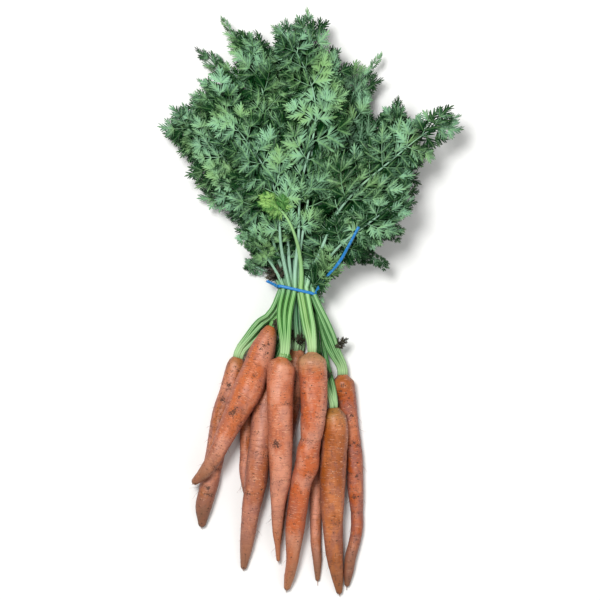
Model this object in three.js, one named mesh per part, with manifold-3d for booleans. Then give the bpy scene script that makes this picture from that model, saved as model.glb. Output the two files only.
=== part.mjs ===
// A tied bunch of carrots that lies on its side: leaves towards +Y, root tips towards -Y.
// Millimetres, +Z up. The origin is the middle of the bunch, on the surface that it lies on.
import * as THREE from 'three';
import { mergeVertices } from 'three/addons/utils/BufferGeometryUtils.js';
import Module from 'manifold-3d';

const wasm = await Module();
wasm.setup();

// Roots
const rootSides = 12;
const stationsPerPoint = 1.4;   // rings along a root for each point of its centre line
const ringRelief = 0.018;       // depth of the ring wrinkles, as a share of the radius

// Leaf stems where the tie holds them, in staggered rows
const tieX = -16.2;
const tieY = 12;
const lowestRow = 4;            // height of the lowest row's stems
const rowRise = 4;
const rows = 6;
const stemPitch = 4.8;          // from one stem of a row to the next
const columns = 6;
const stemRadius = 2.15;
const stemSides = 5;
const bundleHalfWide = ((columns - 1) * stemPitch) / 2 + stemPitch / 4;
const flareBelow = 22;          // this far below the tie the bundle has widened
const flareScale = { across: 1.7, up: 1.35 };
const crownGap = 0.4;           // between a stem's foot and its root's crown
const neckLength = 8;           // a group of stems leaves its crown straight for this far
const untwist = { from: 0.2, length: 0.5 };  // shares of its way where a group turns to its tie
const stepBelow = 14;           // length of a stem's facets below the tie
const stepAbove = 11;

// The leafy fan above the tie
const fanAngle = 30;            // degrees, heading of the outermost stems at the tie
const fanPull = 0.36;           // how long a leaf holds its heading at each end
const settleLength = 64;        // distance from the tie at which a stem has reached its own layer
const layerRise = 1.8;          // from one leaf's layer to the next
const lowestLayer = 1.5;
const fanMiddle = { x: -5, y: 105 };
const fanReach = { x: 150, y: 140 };
const fanDroop = 0.4;           // how far the layers sink towards the edge of the fan
const waveHeight = 2.6;
const waveLength = { x: 30, y: 34 };
const waveShift = 0.8;
const bladeHalf = 0.35;         // half the thickness of a leaflet
const ribHalf = { base: 1.05, tip: 0.5 };
const stemSunk = 12;            // length of stem that runs on inside the blade's rib
const taperAhead = 8;           // a stem starts to thin this far before the tie

// A blade's outline. Its pinnae are in pairs; the sizes of one are shares of its reach sideways.
const pairsPerBlade = { short: 5, long: 6 };
const longBlade = 110;
const pairedShare = 0.84;       // share of the blade that carries the pairs
const reachLoss = 0.72;         // from the first pair to the last
const firstReach = 0.86;
const pinnaAxis = 0.45;         // place of a pinna's axis in its share of the rib
const pinna = { under: 0.56, underRise: 0.34, tipRise: 0.6, over: 0.46, overRise: 0.28 };
const pinnaBulge = { ofReach: 0.3, ofPitch: 0.4 };
const endLeaflet = { half: 0.05, widest: 0.91 };

// The wire tie
const wireWidth = 2.4;
const wireThickness = 0.8;
const wireGap = 0.8;
const wireSteps = 10;
const cornerSegments = 4;
const shortWire = [
  [-32.2, 12, 26.2], [-34.6, 13.6, 29.4], [-38, 15.4, 32], [-41.6, 17, 34],
];
const longWire = [
  [-0.2, 12, 26.6], [4, 15.5, 34], [10.5, 22, 42], [20, 33, 52], [28, 47, 60], [36, 62, 66],
];

// Each root's centre line from its crown to its tip, as [x, y, z, radius].
// turn: how far the stems' group is turned at the crown, in degrees, against its place in the tie.
// via: points that the group passes on its way from the crown to the tie.
// leaves: [row, column, tipX, tipY, heading at the tip in degrees from +Y, half width, blade start]
const carrots = {
  a: {
    colour: 0xc8783f,
    line: [
      [-66.7, -50.1, 8.1, 7.2], [-68.8, -56.9, 8, 8.1], [-73.5, -76.5, 7.9, 8.5],
      [-80.3, -96.9, 7.9, 8.5], [-83.7, -118.1, 7.9, 8.5], [-91, -156.4, 7.6, 8.1],
      [-96, -176.8, 6.8, 7.2], [-97.3, -190.4, 4, 3.8],
    ],
    turn: 80,
    via: [[-55, -31, 8], [-45, -19, 9.5]],
    leaves: [
      [4, 0, -80, 102, -76, 11, 30],
      [3, 0, -113, 145, -77, 26, 64],
      [2, 0, -124, 160, -64, 30, 74],
      [1, 0, -82, 96, -72, 12, 30],
    ],
  },
  b: {
    colour: 0xd07d45,
    line: [
      [-37.8, -22.9, 17.5, 3.8], [-39.9, -28.1, 17.8, 7.2], [-44.9, -41.6, 18.6, 11],
      [-49.7, -55.2, 20.3, 11.9], [-58.2, -76.5, 26.6, 12.9], [-69.3, -98.6, 25, 10.2],
      [-78.6, -118.1, 25, 8.1], [-87.1, -135.2, 24.2, 6.8], [-94.8, -146.2, 21.8, 5.5],
      [-102.4, -153.8, 17, 3.4],
    ],
    turn: 0,
    via: [],
    leaves: [
      [3, 1, -79, 207, -48, 26, 54],
      [2, 1, -78, 233, -56, 25, 57],
      [1, 1, -106, 182, -48, 29, 58],
    ],
  },
  c: {
    colour: 0xdb8a52,
    line: [
      [-27.6, -49.3, 33, 8.5], [-28.9, -55.2, 33, 12.2], [-30, -71.4, 33, 11.6],
      [-30.2, -85.8, 32.6, 11.4], [-29.8, -116.5, 30.2, 10.6], [-29.9, -152.2, 26.2, 9.1],
      [-31, -161.5, 23.8, 7.8], [-32.3, -178.5, 19.3, 5.7], [-32.7, -198.9, 14.2, 4],
      [-32.3, -209.9, 10.5, 2.5], [-31.9, -221.8, 7, 1.7],
    ],
    turn: 0,
    via: [],
    leaves: [
      [5, 0, -64, 54, -62, 11, 22],
      [5, 1, -85, 161, -64, 27, 60],
      [5, 2, -36, 237, -52, 30, 63],
      [4, 1, -100, 190, -57, 30, 55],
      [4, 2, -66, 232, -24, 29, 61],
    ],
  },
  d: {
    colour: 0xd58349,
    line: [
      [-40.2, -71.4, 12.6, 6], [-41, -77.3, 12.6, 8.4], [-43.8, -92.6, 13.6, 10.4],
      [-46.3, -118.1, 14.9, 10.2], [-49.3, -139.4, 16, 10], [-50.6, -153, 15.9, 9.9],
      [-52.9, -165.8, 14.9, 8.9], [-55.2, -178.5, 12.4, 8.1], [-57.4, -196.3, 8.6, 6.8],
      [-59.1, -209.1, 6.2, 6], [-61.4, -227.8, 3.2, 3],
    ],
    turn: 0,
    via: [[-35, -57, 7], [-31, -43, 6]],
    leaves: [
      [1, 2, -43, 221, -10, 30, 65],
      [0, 2, -77, 198, 2, 30, 65],
      [0, 3, -14, 244, 0, 30, 69],
    ],
  },
  e: {
    colour: 0xc9793f,
    line: [
      [-58.2, -92.6, 5, 3.8], [-59.1, -99.5, 4.8, 5.1], [-59.9, -118.1, 4.7, 5.1],
      [-59.9, -130.9, 4.7, 5.1], [-60.8, -146.2, 4.4, 4.7], [-59.1, -163.2, 3.3, 3.4],
      [-57.4, -174.2, 1.7, 1.7],
    ],
    turn: 0,
    via: [[-50, -72, 4.5], [-43, -52, 4.4], [-37, -30, 4.2]],
    leaves: [
      [0, 0, -57, 32, -76, 9, 22],
      [0, 1, -120, 157, -46, 30, 82],
    ],
  },
  f: {
    colour: 0xd9884f,
    line: [
      [-3, -44.2, 34, 9.3], [-3, -51.9, 34, 12.5], [-1.7, -71.4, 34, 11.9],
      [-1.3, -85.8, 34, 11.3], [-2.3, -101.1, 33.8, 10.8], [-4.1, -118.1, 30.6, 9.3],
      [-6.4, -128.3, 28.6, 10], [-7.2, -139.4, 26.2, 10.2], [-11.5, -152.2, 23.6, 9.3],
      [-13.2, -161.5, 21.6, 8.9], [-15.5, -178.5, 18.4, 8.7], [-17.2, -192.1, 15.8, 8.5],
      [-18.3, -204.8, 13.6, 7.4], [-19.7, -221.8, 10.5, 5.5], [-22.5, -237.2, 6.6, 4.5],
      [-24.2, -245.7, 4, 3],
    ],
    turn: 0,
    via: [],
    leaves: [
      [5, 3, -44, 83, -75, 16, 62],
      [5, 4, 125, 153, 74, 30, 60],
      [4, 3, 18, 214, 15, 30, 59],
      [4, 4, 74, 174, 11, 19, 58],
      [3, 3, -3, 250, 14, 30, 69],
      [3, 4, 97, 141, 72, 30, 55],
    ],
  },
  g: {
    colour: 0xcf7c42,
    line: [
      [-15.7, -43.4, 9.4, 6.4], [-16.6, -50.1, 9.3, 9.3], [-20, -71.4, 9.5, 10.2],
      [-23.4, -92.6, 9.1, 9.8], [-27.6, -118.1, 8.3, 8.9], [-29.3, -143.7, 7.5, 8.1],
      [-30.2, -169.2, 6.3, 6.8], [-31.4, -190.4, 4.8, 5.1], [-32.3, -208.2, 3.1, 3],
    ],
    turn: 0,
    via: [],
    leaves: [
      [3, 2, -21, 242, -5, 30, 62],
      [2, 2, -36, 220, -4, 30, 64],
      [2, 3, 31, 178, -2, 30, 59],
      [1, 3, 3, 222, -4, 30, 65],
    ],
  },
  h: {
    colour: 0xcc8236,
    line: [
      [15.3, -92.6, 22.4, 7.6], [15.7, -97.8, 22.2, 10.2], [16.8, -109.6, 21.6, 11.3],
      [16.1, -126.6, 18.9, 11.4], [14.9, -144.5, 16.7, 11.5], [14.4, -170, 14.6, 10.5],
      [14.9, -192.1, 12.2, 8.9], [16.1, -213.3, 9.6, 7.8], [17.4, -226.1, 7.7, 6.6],
      [18.8, -235.4, 6.1, 5.5], [20.4, -249, 3.4, 3],
    ],
    turn: 0,
    via: [[8.5, -64, 16], [3.5, -42, 10.5]],
    leaves: [
      [2, 4, 81, 158, 52, 30, 54],
      [1, 4, 50, 202, 51, 30, 59],
      [1, 5, 85, 101, 68, 23, 34],
    ],
  },
  i: {
    colour: 0xc67a40,
    line: [
      [23.4, -64.6, 9.4, 7.2], [23.8, -70.5, 9.3, 9.8], [26.8, -85.8, 8, 8.5],
      [30.2, -109.6, 6.9, 7.4], [33.6, -135.2, 6.7, 7.2], [34.4, -160.7, 6.5, 7],
      [35.7, -181.9, 5.2, 5.5], [35.7, -194.7, 5, 5.3], [33.6, -207.4, 4.9, 5.1],
      [30.2, -220.2, 5, 5.1], [28.6, -232.9, 4.2, 4.2], [27.4, -243.1, 2.7, 2.5],
    ],
    turn: -90,
    via: [[15.3, -41.5, 15]],
    leaves: [
      [5, 5, 80, 91, 62, 22, 39],
      [4, 5, 66, 67, 95, 22, 27],
      [3, 5, 75, 55, 108, 13, 34],
      [2, 5, 60, 25, 146, 8, 42],
    ],
  },
  j: {
    colour: 0xcb7a3c,
    line: [
      [-1.3, -87.5, 5, 3.8], [-0.8, -94.3, 4.9, 5.3], [0, -126.6, 4.9, 5.3],
      [0.4, -169.2, 4.7, 5.1], [0.4, -207.4, 4.4, 4.7], [1.7, -224.4, 3.8, 3.8],
      [1.9, -238.8, 2.2, 2.1],
    ],
    turn: 0,
    via: [[-1.5, -60, 4.6], [-1.5, -43, 4.4]],
    leaves: [
      [0, 4, 40, 172, 40, 30, 60],
      [0, 5, 95, 119, 82, 29, 40],
    ],
  },
};

// Which of a row's six leaves lies over which: neighbours are never in neighbouring layers.
const orderInRow = [0, 3, 1, 4.5, 2, 5.2];

const leafColour = 0x5d9468;
const wireColour = 0x2f9ad6;

const sliver = 0.01;             // edges shorter than this are dropped after a join
const degrees = Math.PI / 180;
const up = new THREE.Vector3(0, 0, 1);

function smooth(value) {
  const share = Math.min(Math.max(value, 0), 1);
  return share * share * (3 - 2 * share);
}

// A geometry as a solid, turned outside out where its faces point inwards.
function solidOf(geometry) {
  const bare = geometry.clone();
  bare.deleteAttribute('normal');
  bare.deleteAttribute('uv');
  const merged = mergeVertices(bare, 1e-4);
  const triVerts = new Uint32Array(merged.index.array);
  const vertProperties = new Float32Array(merged.attributes.position.array);
  const solid = new wasm.Manifold(new wasm.Mesh({ numProp: 3, vertProperties, triVerts }));
  if (solid.volume() > 0) return solid;
  for (let corner = 0; corner < triVerts.length; corner += 3) {
    [triVerts[corner + 1], triVerts[corner + 2]] = [triVerts[corner + 2], triVerts[corner + 1]];
  }
  return new wasm.Manifold(new wasm.Mesh({ numProp: 3, vertProperties, triVerts }));
}

function geometryOf(solid) {
  const mesh = solid.getMesh();
  const geometry = new THREE.BufferGeometry();
  geometry.setAttribute('position', new THREE.BufferAttribute(mesh.vertProperties, 3));
  geometry.setIndex(new THREE.BufferAttribute(mesh.triVerts, 1));
  geometry.computeVertexNormals();
  return geometry;
}

// A lathed rod with one ring for each station, laid along the stations:
// each has a middle, a right and an up direction, and a radius.
function rodAlong(stations, sides) {
  const last = stations.length - 1;
  const profile = [new THREE.Vector2(0, 0)];
  stations.forEach((station, index) => profile.push(new THREE.Vector2(1, index)));
  profile.push(new THREE.Vector2(0, last));
  const geometry = new THREE.LatheGeometry(profile, sides, Math.PI / sides);
  const place = geometry.attributes.position;
  for (let index = 0; index < place.count; index += 1) {
    const across = place.getX(index);
    const along = Math.round(place.getY(index));
    const rise = place.getZ(index);
    const { middle, right, above, radius, relief = () => 1 } = stations[along];
    const reach = radius * relief(Math.atan2(across, -rise));
    const point = middle.clone().addScaledVector(right, across * reach);
    point.addScaledVector(above, -rise * reach);
    place.setXYZ(index, point.x, point.y, Math.max(point.z, 0));
  }
  return geometry;
}

function sideways(direction) {
  const right = new THREE.Vector3().crossVectors(direction, up).normalize();
  const above = new THREE.Vector3().crossVectors(right, direction).normalize();
  return { right, above };
}

// Roots: rings of the hand-set radius, a little wrinkled, flattened where they lie on the surface.
function rootGeometry(line, seed) {
  const curve = new THREE.CatmullRomCurve3(line.map(([x, y, z]) => new THREE.Vector3(x, y, z)));
  const radii = new THREE.CatmullRomCurve3(line.map((point) => new THREE.Vector3(point[3], 0, 0)));
  const rings = Math.round((line.length - 1) * stationsPerPoint);
  const stations = [];
  for (let ring = 0; ring <= rings; ring += 1) {
    const share = ring / rings;
    const { right, above } = sideways(curve.getTangent(share));
    const radius = radii.getPoint(share).x;
    const inner = ring > 0 && ring < rings;
    const relief = (angle) => 1 + (inner ? ringRelief * Math.sin(2 * angle + 2.3 * ring + seed) : 0);
    stations.push({ middle: curve.getPoint(share), right, above, radius, relief });
  }
  return rodAlong(stations, rootSides);
}

function slotAt(row, column) {
  const stagger = row % 2 === 1 ? stemPitch / 4 : -stemPitch / 4;
  const x = tieX + (column - (columns - 1) / 2) * stemPitch + stagger;
  return new THREE.Vector3(x, tieY, lowestRow + row * rowRise);
}

// The way of one carrot's group of stems from its crown to the tie.
function groupCurve(carrot, middleSlot) {
  const [first, second] = carrot.line.map(([x, y, z]) => new THREE.Vector3(x, y, z));
  const outward = first.clone().sub(second).normalize();
  const flare = new THREE.Vector3(
    tieX + (middleSlot.x - tieX) * flareScale.across,
    tieY - flareBelow,
    lowestRow + (middleSlot.z - lowestRow) * flareScale.up,
  );
  const foot = first.clone().addScaledVector(outward, crownGap);
  const neck = first.clone().addScaledVector(outward, neckLength);
  const via = carrot.via.map(([x, y, z]) => new THREE.Vector3(x, y, z));
  const nearTie = new THREE.Vector3(middleSlot.x, tieY - 1, middleSlot.z);
  return new THREE.CatmullRomCurve3([foot, neck, ...via, flare, nearTie], false, 'centripetal');
}

// The plan curve of a leaf above the tie, from its place in the tie to its tip.
function fanCurve(slot, tip, heading) {
  const sideShare = (slot.x - tieX) / (stemPitch * columns / 2);
  const leaving = fanAngle * degrees * sideShare;
  const arriving = heading * degrees;
  const pull = fanPull * Math.hypot(tip.x - slot.x, tip.y - slot.y);
  return new THREE.CubicBezierCurve3(
    new THREE.Vector3(slot.x, slot.y, 0),
    new THREE.Vector3(slot.x + pull * Math.sin(leaving), slot.y + pull * Math.cos(leaving), 0),
    new THREE.Vector3(tip.x - pull * Math.sin(arriving), tip.y - pull * Math.cos(arriving), 0),
    new THREE.Vector3(tip.x, tip.y, 0),
  );
}

// The height of a leaf's layer: the layers share one gentle wave and sink towards the fan's edge.
function layerHeight(layer, x, y) {
  const outX = (x - fanMiddle.x) / fanReach.x;
  const outY = (y - fanMiddle.y) / fanReach.y;
  const out = Math.min(outX * outX + outY * outY, 1);
  const wave = 1 + Math.sin(x / waveLength.x + waveShift) * Math.cos(y / waveLength.y);
  return (lowestLayer + layerRise * layer) * (1 - fanDroop * out) + waveHeight * wave;
}

function leafHeight(leaf, x, y) {
  const layer = leaf.row * columns + orderInRow[leaf.column];
  const besideBundle = Math.max(Math.abs(x - tieX) - bundleHalfWide, 0);
  const settled = smooth(Math.hypot(besideBundle, Math.max(y - tieY, 0)) / settleLength);
  return leaf.slot.z * (1 - settled) + layerHeight(layer, x, y) * settled;
}

// One leaf's blade in its own plane: pinnae in pairs, cut to the rib, and an end leaflet.
function bladeOutline(length, halfWidth, pairs) {
  const pitch = (pairedShare * length) / pairs;
  const rightSide = [];
  for (let pair = 0; pair < pairs; pair += 1) {
    const share = pair / pairs;
    const reach = halfWidth * (1 - reachLoss * share) * (pair === 0 ? firstReach : 1);
    const foot = pair * pitch;
    const axis = foot + pinnaAxis * pitch;
    const bulge = Math.min(pinnaBulge.ofReach * reach, pinnaBulge.ofPitch * pitch);
    const rib = ribAt(foot / length);
    rightSide.push([rib, foot]);
    rightSide.push([pinna.under * reach, axis + pinna.underRise * reach - bulge]);
    rightSide.push([reach, axis + pinna.tipRise * reach]);
    rightSide.push([pinna.over * reach, axis + pinna.overRise * reach + bulge]);
  }
  rightSide.push([ribAt(pairedShare), pairs * pitch]);
  rightSide.push([endLeaflet.half * length, endLeaflet.widest * length]);
  const leftSide = rightSide.map(([across, along]) => [-across, along]).reverse();
  const points = [...rightSide, [0, length], ...leftSide];
  return new THREE.Shape(points.map(([across, along]) => new THREE.Vector2(across, along)));
}

function ribAt(share) {
  return ribHalf.base + (ribHalf.tip - ribHalf.base) * share;
}

function bladeGeometry(leaf) {
  const length = leaf.reach - leaf.start;
  const pairs = length > longBlade ? pairsPerBlade.long : pairsPerBlade.short;
  const shape = bladeOutline(length, leaf.halfWidth, pairs);
  const geometry = new THREE.ExtrudeGeometry(shape, { depth: 1, bevelEnabled: false });
  const place = geometry.attributes.position;
  for (let index = 0; index < place.count; index += 1) {
    const across = place.getX(index);
    const along = place.getY(index);
    const side = place.getZ(index) > 0.5 ? 1 : -1;
    const travelled = leaf.start + along;
    const share = Math.min(travelled / leaf.reach, 1);
    const middle = leaf.plan.getPointAt(share);
    const { right } = sideways(leaf.plan.getTangentAt(share));
    const x = middle.x + right.x * across;
    const y = middle.y + right.y * across;
    const rib = ribAt(along / length);
    const half = Math.abs(across) < rib + 0.01 ? rib : bladeHalf;
    const z = Math.max(leafHeight(leaf, x, y), half) + side * half;
    place.setXYZ(index, x, y, z);
  }
  return geometry;
}

// A leaf's stem from its crown, through the tie and on into the blade's rib.
function stemGeometry(leaf, group, turn) {
  const stations = [];
  const stepsBelow = leaf.stepsBelow;
  for (let step = 0; step < stepsBelow; step += 1) {
    const share = step / stepsBelow;
    const { right, above } = sideways(group.getTangentAt(share));
    const turned = smooth((share - untwist.from) / untwist.length);
    const angle = turn * degrees * (1 - turned);
    const across = leaf.offset.x * Math.cos(angle) - leaf.offset.z * Math.sin(angle);
    const rise = leaf.offset.x * Math.sin(angle) + leaf.offset.z * Math.cos(angle);
    const middle = group.getPointAt(share).addScaledVector(right, across);
    middle.addScaledVector(above, rise);
    stations.push({ middle, right, above, radius: stemRadius });
  }
  const end = leaf.start + stemSunk;
  const stepsAbove = Math.max(3, Math.round(end / stepAbove));
  for (let step = 0; step <= stepsAbove; step += 1) {
    const travelled = (end * step) / stepsAbove;
    const share = travelled / leaf.reach;
    const middle = leaf.plan.getPointAt(share);
    const { right, above } = sideways(leaf.plan.getTangentAt(share));
    middle.z = leafHeight(leaf, middle.x, middle.y);
    const radius = stemRadius + (ribHalf.base - stemRadius) * smooth((travelled + taperAhead) / end);
    stations.push({ middle, right, above, radius });
  }
  return rodAlong(stations, stemSides);
}

function leafGeometry(leaf, group, turn) {
  const stem = solidOf(stemGeometry(leaf, group, turn));
  const blade = solidOf(bladeGeometry(leaf));
  return geometryOf(stem.add(blade).simplify(sliver));
}

// A rounded rectangle round the bundle, at a distance from the outer stems.
function wireOutline(Kind, distance) {
  const halfWide = bundleHalfWide + stemRadius + distance;
  const halfHigh = ((rows - 1) * rowRise) / 2 + stemRadius + distance;
  const corner = stemRadius + distance;
  const outline = new Kind();
  outline.absarc(halfWide - corner, halfHigh - corner, corner, 0, Math.PI / 2);
  outline.absarc(corner - halfWide, halfHigh - corner, corner, Math.PI / 2, Math.PI);
  outline.absarc(corner - halfWide, corner - halfHigh, corner, Math.PI, 1.5 * Math.PI);
  outline.absarc(halfWide - corner, corner - halfHigh, corner, 1.5 * Math.PI, 2 * Math.PI);
  outline.closePath();
  return outline;
}

// A free end of the flat wire, along hand-set points.
function wireEnd(points) {
  const curve = new THREE.CatmullRomCurve3(points.map((point) => new THREE.Vector3(...point)));
  const section = new THREE.Shape();
  section.moveTo(-wireThickness / 2, -wireWidth / 2);
  section.lineTo(wireThickness / 2, -wireWidth / 2);
  section.lineTo(wireThickness / 2, wireWidth / 2);
  section.lineTo(-wireThickness / 2, wireWidth / 2);
  return new THREE.ExtrudeGeometry(section, {
    extrudePath: curve, steps: wireSteps, bevelEnabled: false,
  });
}

function wireGeometry() {
  const ringShape = wireOutline(THREE.Shape, wireGap + wireThickness);
  ringShape.holes.push(wireOutline(THREE.Path, wireGap));
  const ring = new THREE.ExtrudeGeometry(ringShape, {
    depth: wireWidth, curveSegments: cornerSegments, bevelEnabled: false,
  });
  ring.rotateX(Math.PI / 2);
  ring.translate(tieX, tieY + wireWidth / 2, lowestRow + ((rows - 1) * rowRise) / 2);
  const shortEnd = wireEnd(shortWire);
  const longEnd = wireEnd(longWire);
  const solid = solidOf(ring).add(solidOf(shortEnd)).add(solidOf(longEnd));
  return geometryOf(solid.simplify(sliver));
}

const bunch = new THREE.Group();

function addPiece(name, geometry, colour, roughness, metalness) {
  const material = new THREE.MeshStandardMaterial({ color: colour, roughness, metalness });
  const mesh = new THREE.Mesh(geometry, material);
  mesh.name = name;
  bunch.add(mesh);
}

Object.entries(carrots).forEach(([letter, carrot], index) => {
  const root = geometryOf(solidOf(rootGeometry(carrot.line, index)));
  addPiece(`carrot_${letter}`, root, carrot.colour, 0.6, 0);
  const slots = carrot.leaves.map(([row, column]) => slotAt(row, column));
  const middleSlot = slots.reduce((sum, slot) => sum.add(slot), new THREE.Vector3());
  middleSlot.divideScalar(slots.length);
  const group = groupCurve(carrot, middleSlot);
  const stepsBelow = Math.max(4, Math.round(group.getLength() / stepBelow));
  carrot.leaves.forEach(([row, column, tipX, tipY, heading, halfWidth, start], number) => {
    const slot = slots[number];
    const plan = fanCurve(slot, { x: tipX, y: tipY }, heading);
    const offset = slot.clone().sub(middleSlot);
    const reach = plan.getLength();
    const leaf = { row, column, slot, plan, offset, halfWidth, start, reach, stepsBelow };
    addPiece(`leaf_${letter}${number + 1}`, leafGeometry(leaf, group, carrot.turn), leafColour, 0.7, 0);
  });
});
addPiece('wire_tie', wireGeometry(), wireColour, 0.45, 0);

export default bunch;
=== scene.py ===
import math
import random

import bmesh
import bpy
import numpy as np
from mathutils import Matrix, Vector, noise


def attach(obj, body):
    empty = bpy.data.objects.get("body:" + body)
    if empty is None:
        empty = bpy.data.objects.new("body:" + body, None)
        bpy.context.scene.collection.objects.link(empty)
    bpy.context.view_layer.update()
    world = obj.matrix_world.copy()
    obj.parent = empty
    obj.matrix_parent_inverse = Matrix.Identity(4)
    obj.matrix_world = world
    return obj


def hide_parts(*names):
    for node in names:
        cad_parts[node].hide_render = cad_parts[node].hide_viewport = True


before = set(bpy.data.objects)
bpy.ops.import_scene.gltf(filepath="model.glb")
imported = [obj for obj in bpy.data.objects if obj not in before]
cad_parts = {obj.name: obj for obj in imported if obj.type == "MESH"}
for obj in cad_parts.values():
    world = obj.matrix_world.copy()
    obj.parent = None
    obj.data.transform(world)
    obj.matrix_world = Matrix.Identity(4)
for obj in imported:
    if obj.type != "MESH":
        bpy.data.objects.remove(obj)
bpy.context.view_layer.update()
mm = 0.001  # the tables below are in millimetres, the scene is in metres
print("frame loaded:", len(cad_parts), "nodes")


# values that the whole bunch shares, the same as in the solids

bunch = {
    "tieX": -16.2,
    "tieY": 12,
    "lowestRow": 4,  # height of the lowest row of stems in the tie
    "rowRise": 4,
    "rows": 6,
    "stemPitch": 4.8,
    "columns": 6,
    "orderInRow": [0, 3, 1, 4.5, 2, 5.2],
    "stemRadius": 2.15,
    "flareBelow": 22,
    "flareAcross": 1.7,
    "flareUp": 1.35,
    "crownGap": 0.4,
    "neckLength": 8,
    "fanAngle": 30,
    "pull": 0.36,
    "settleLength": 64,
    "layerRise": 1.8,
    "lowestLayer": 1.5,
    "fanMiddle": (-5, 105),
    "fanReach": (150, 140),
    "fanDroop": 0.4,
    "waveHeight": 2.6,
    "waveLength": (30, 34),
    "waveShift": 0.8,
}

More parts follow.
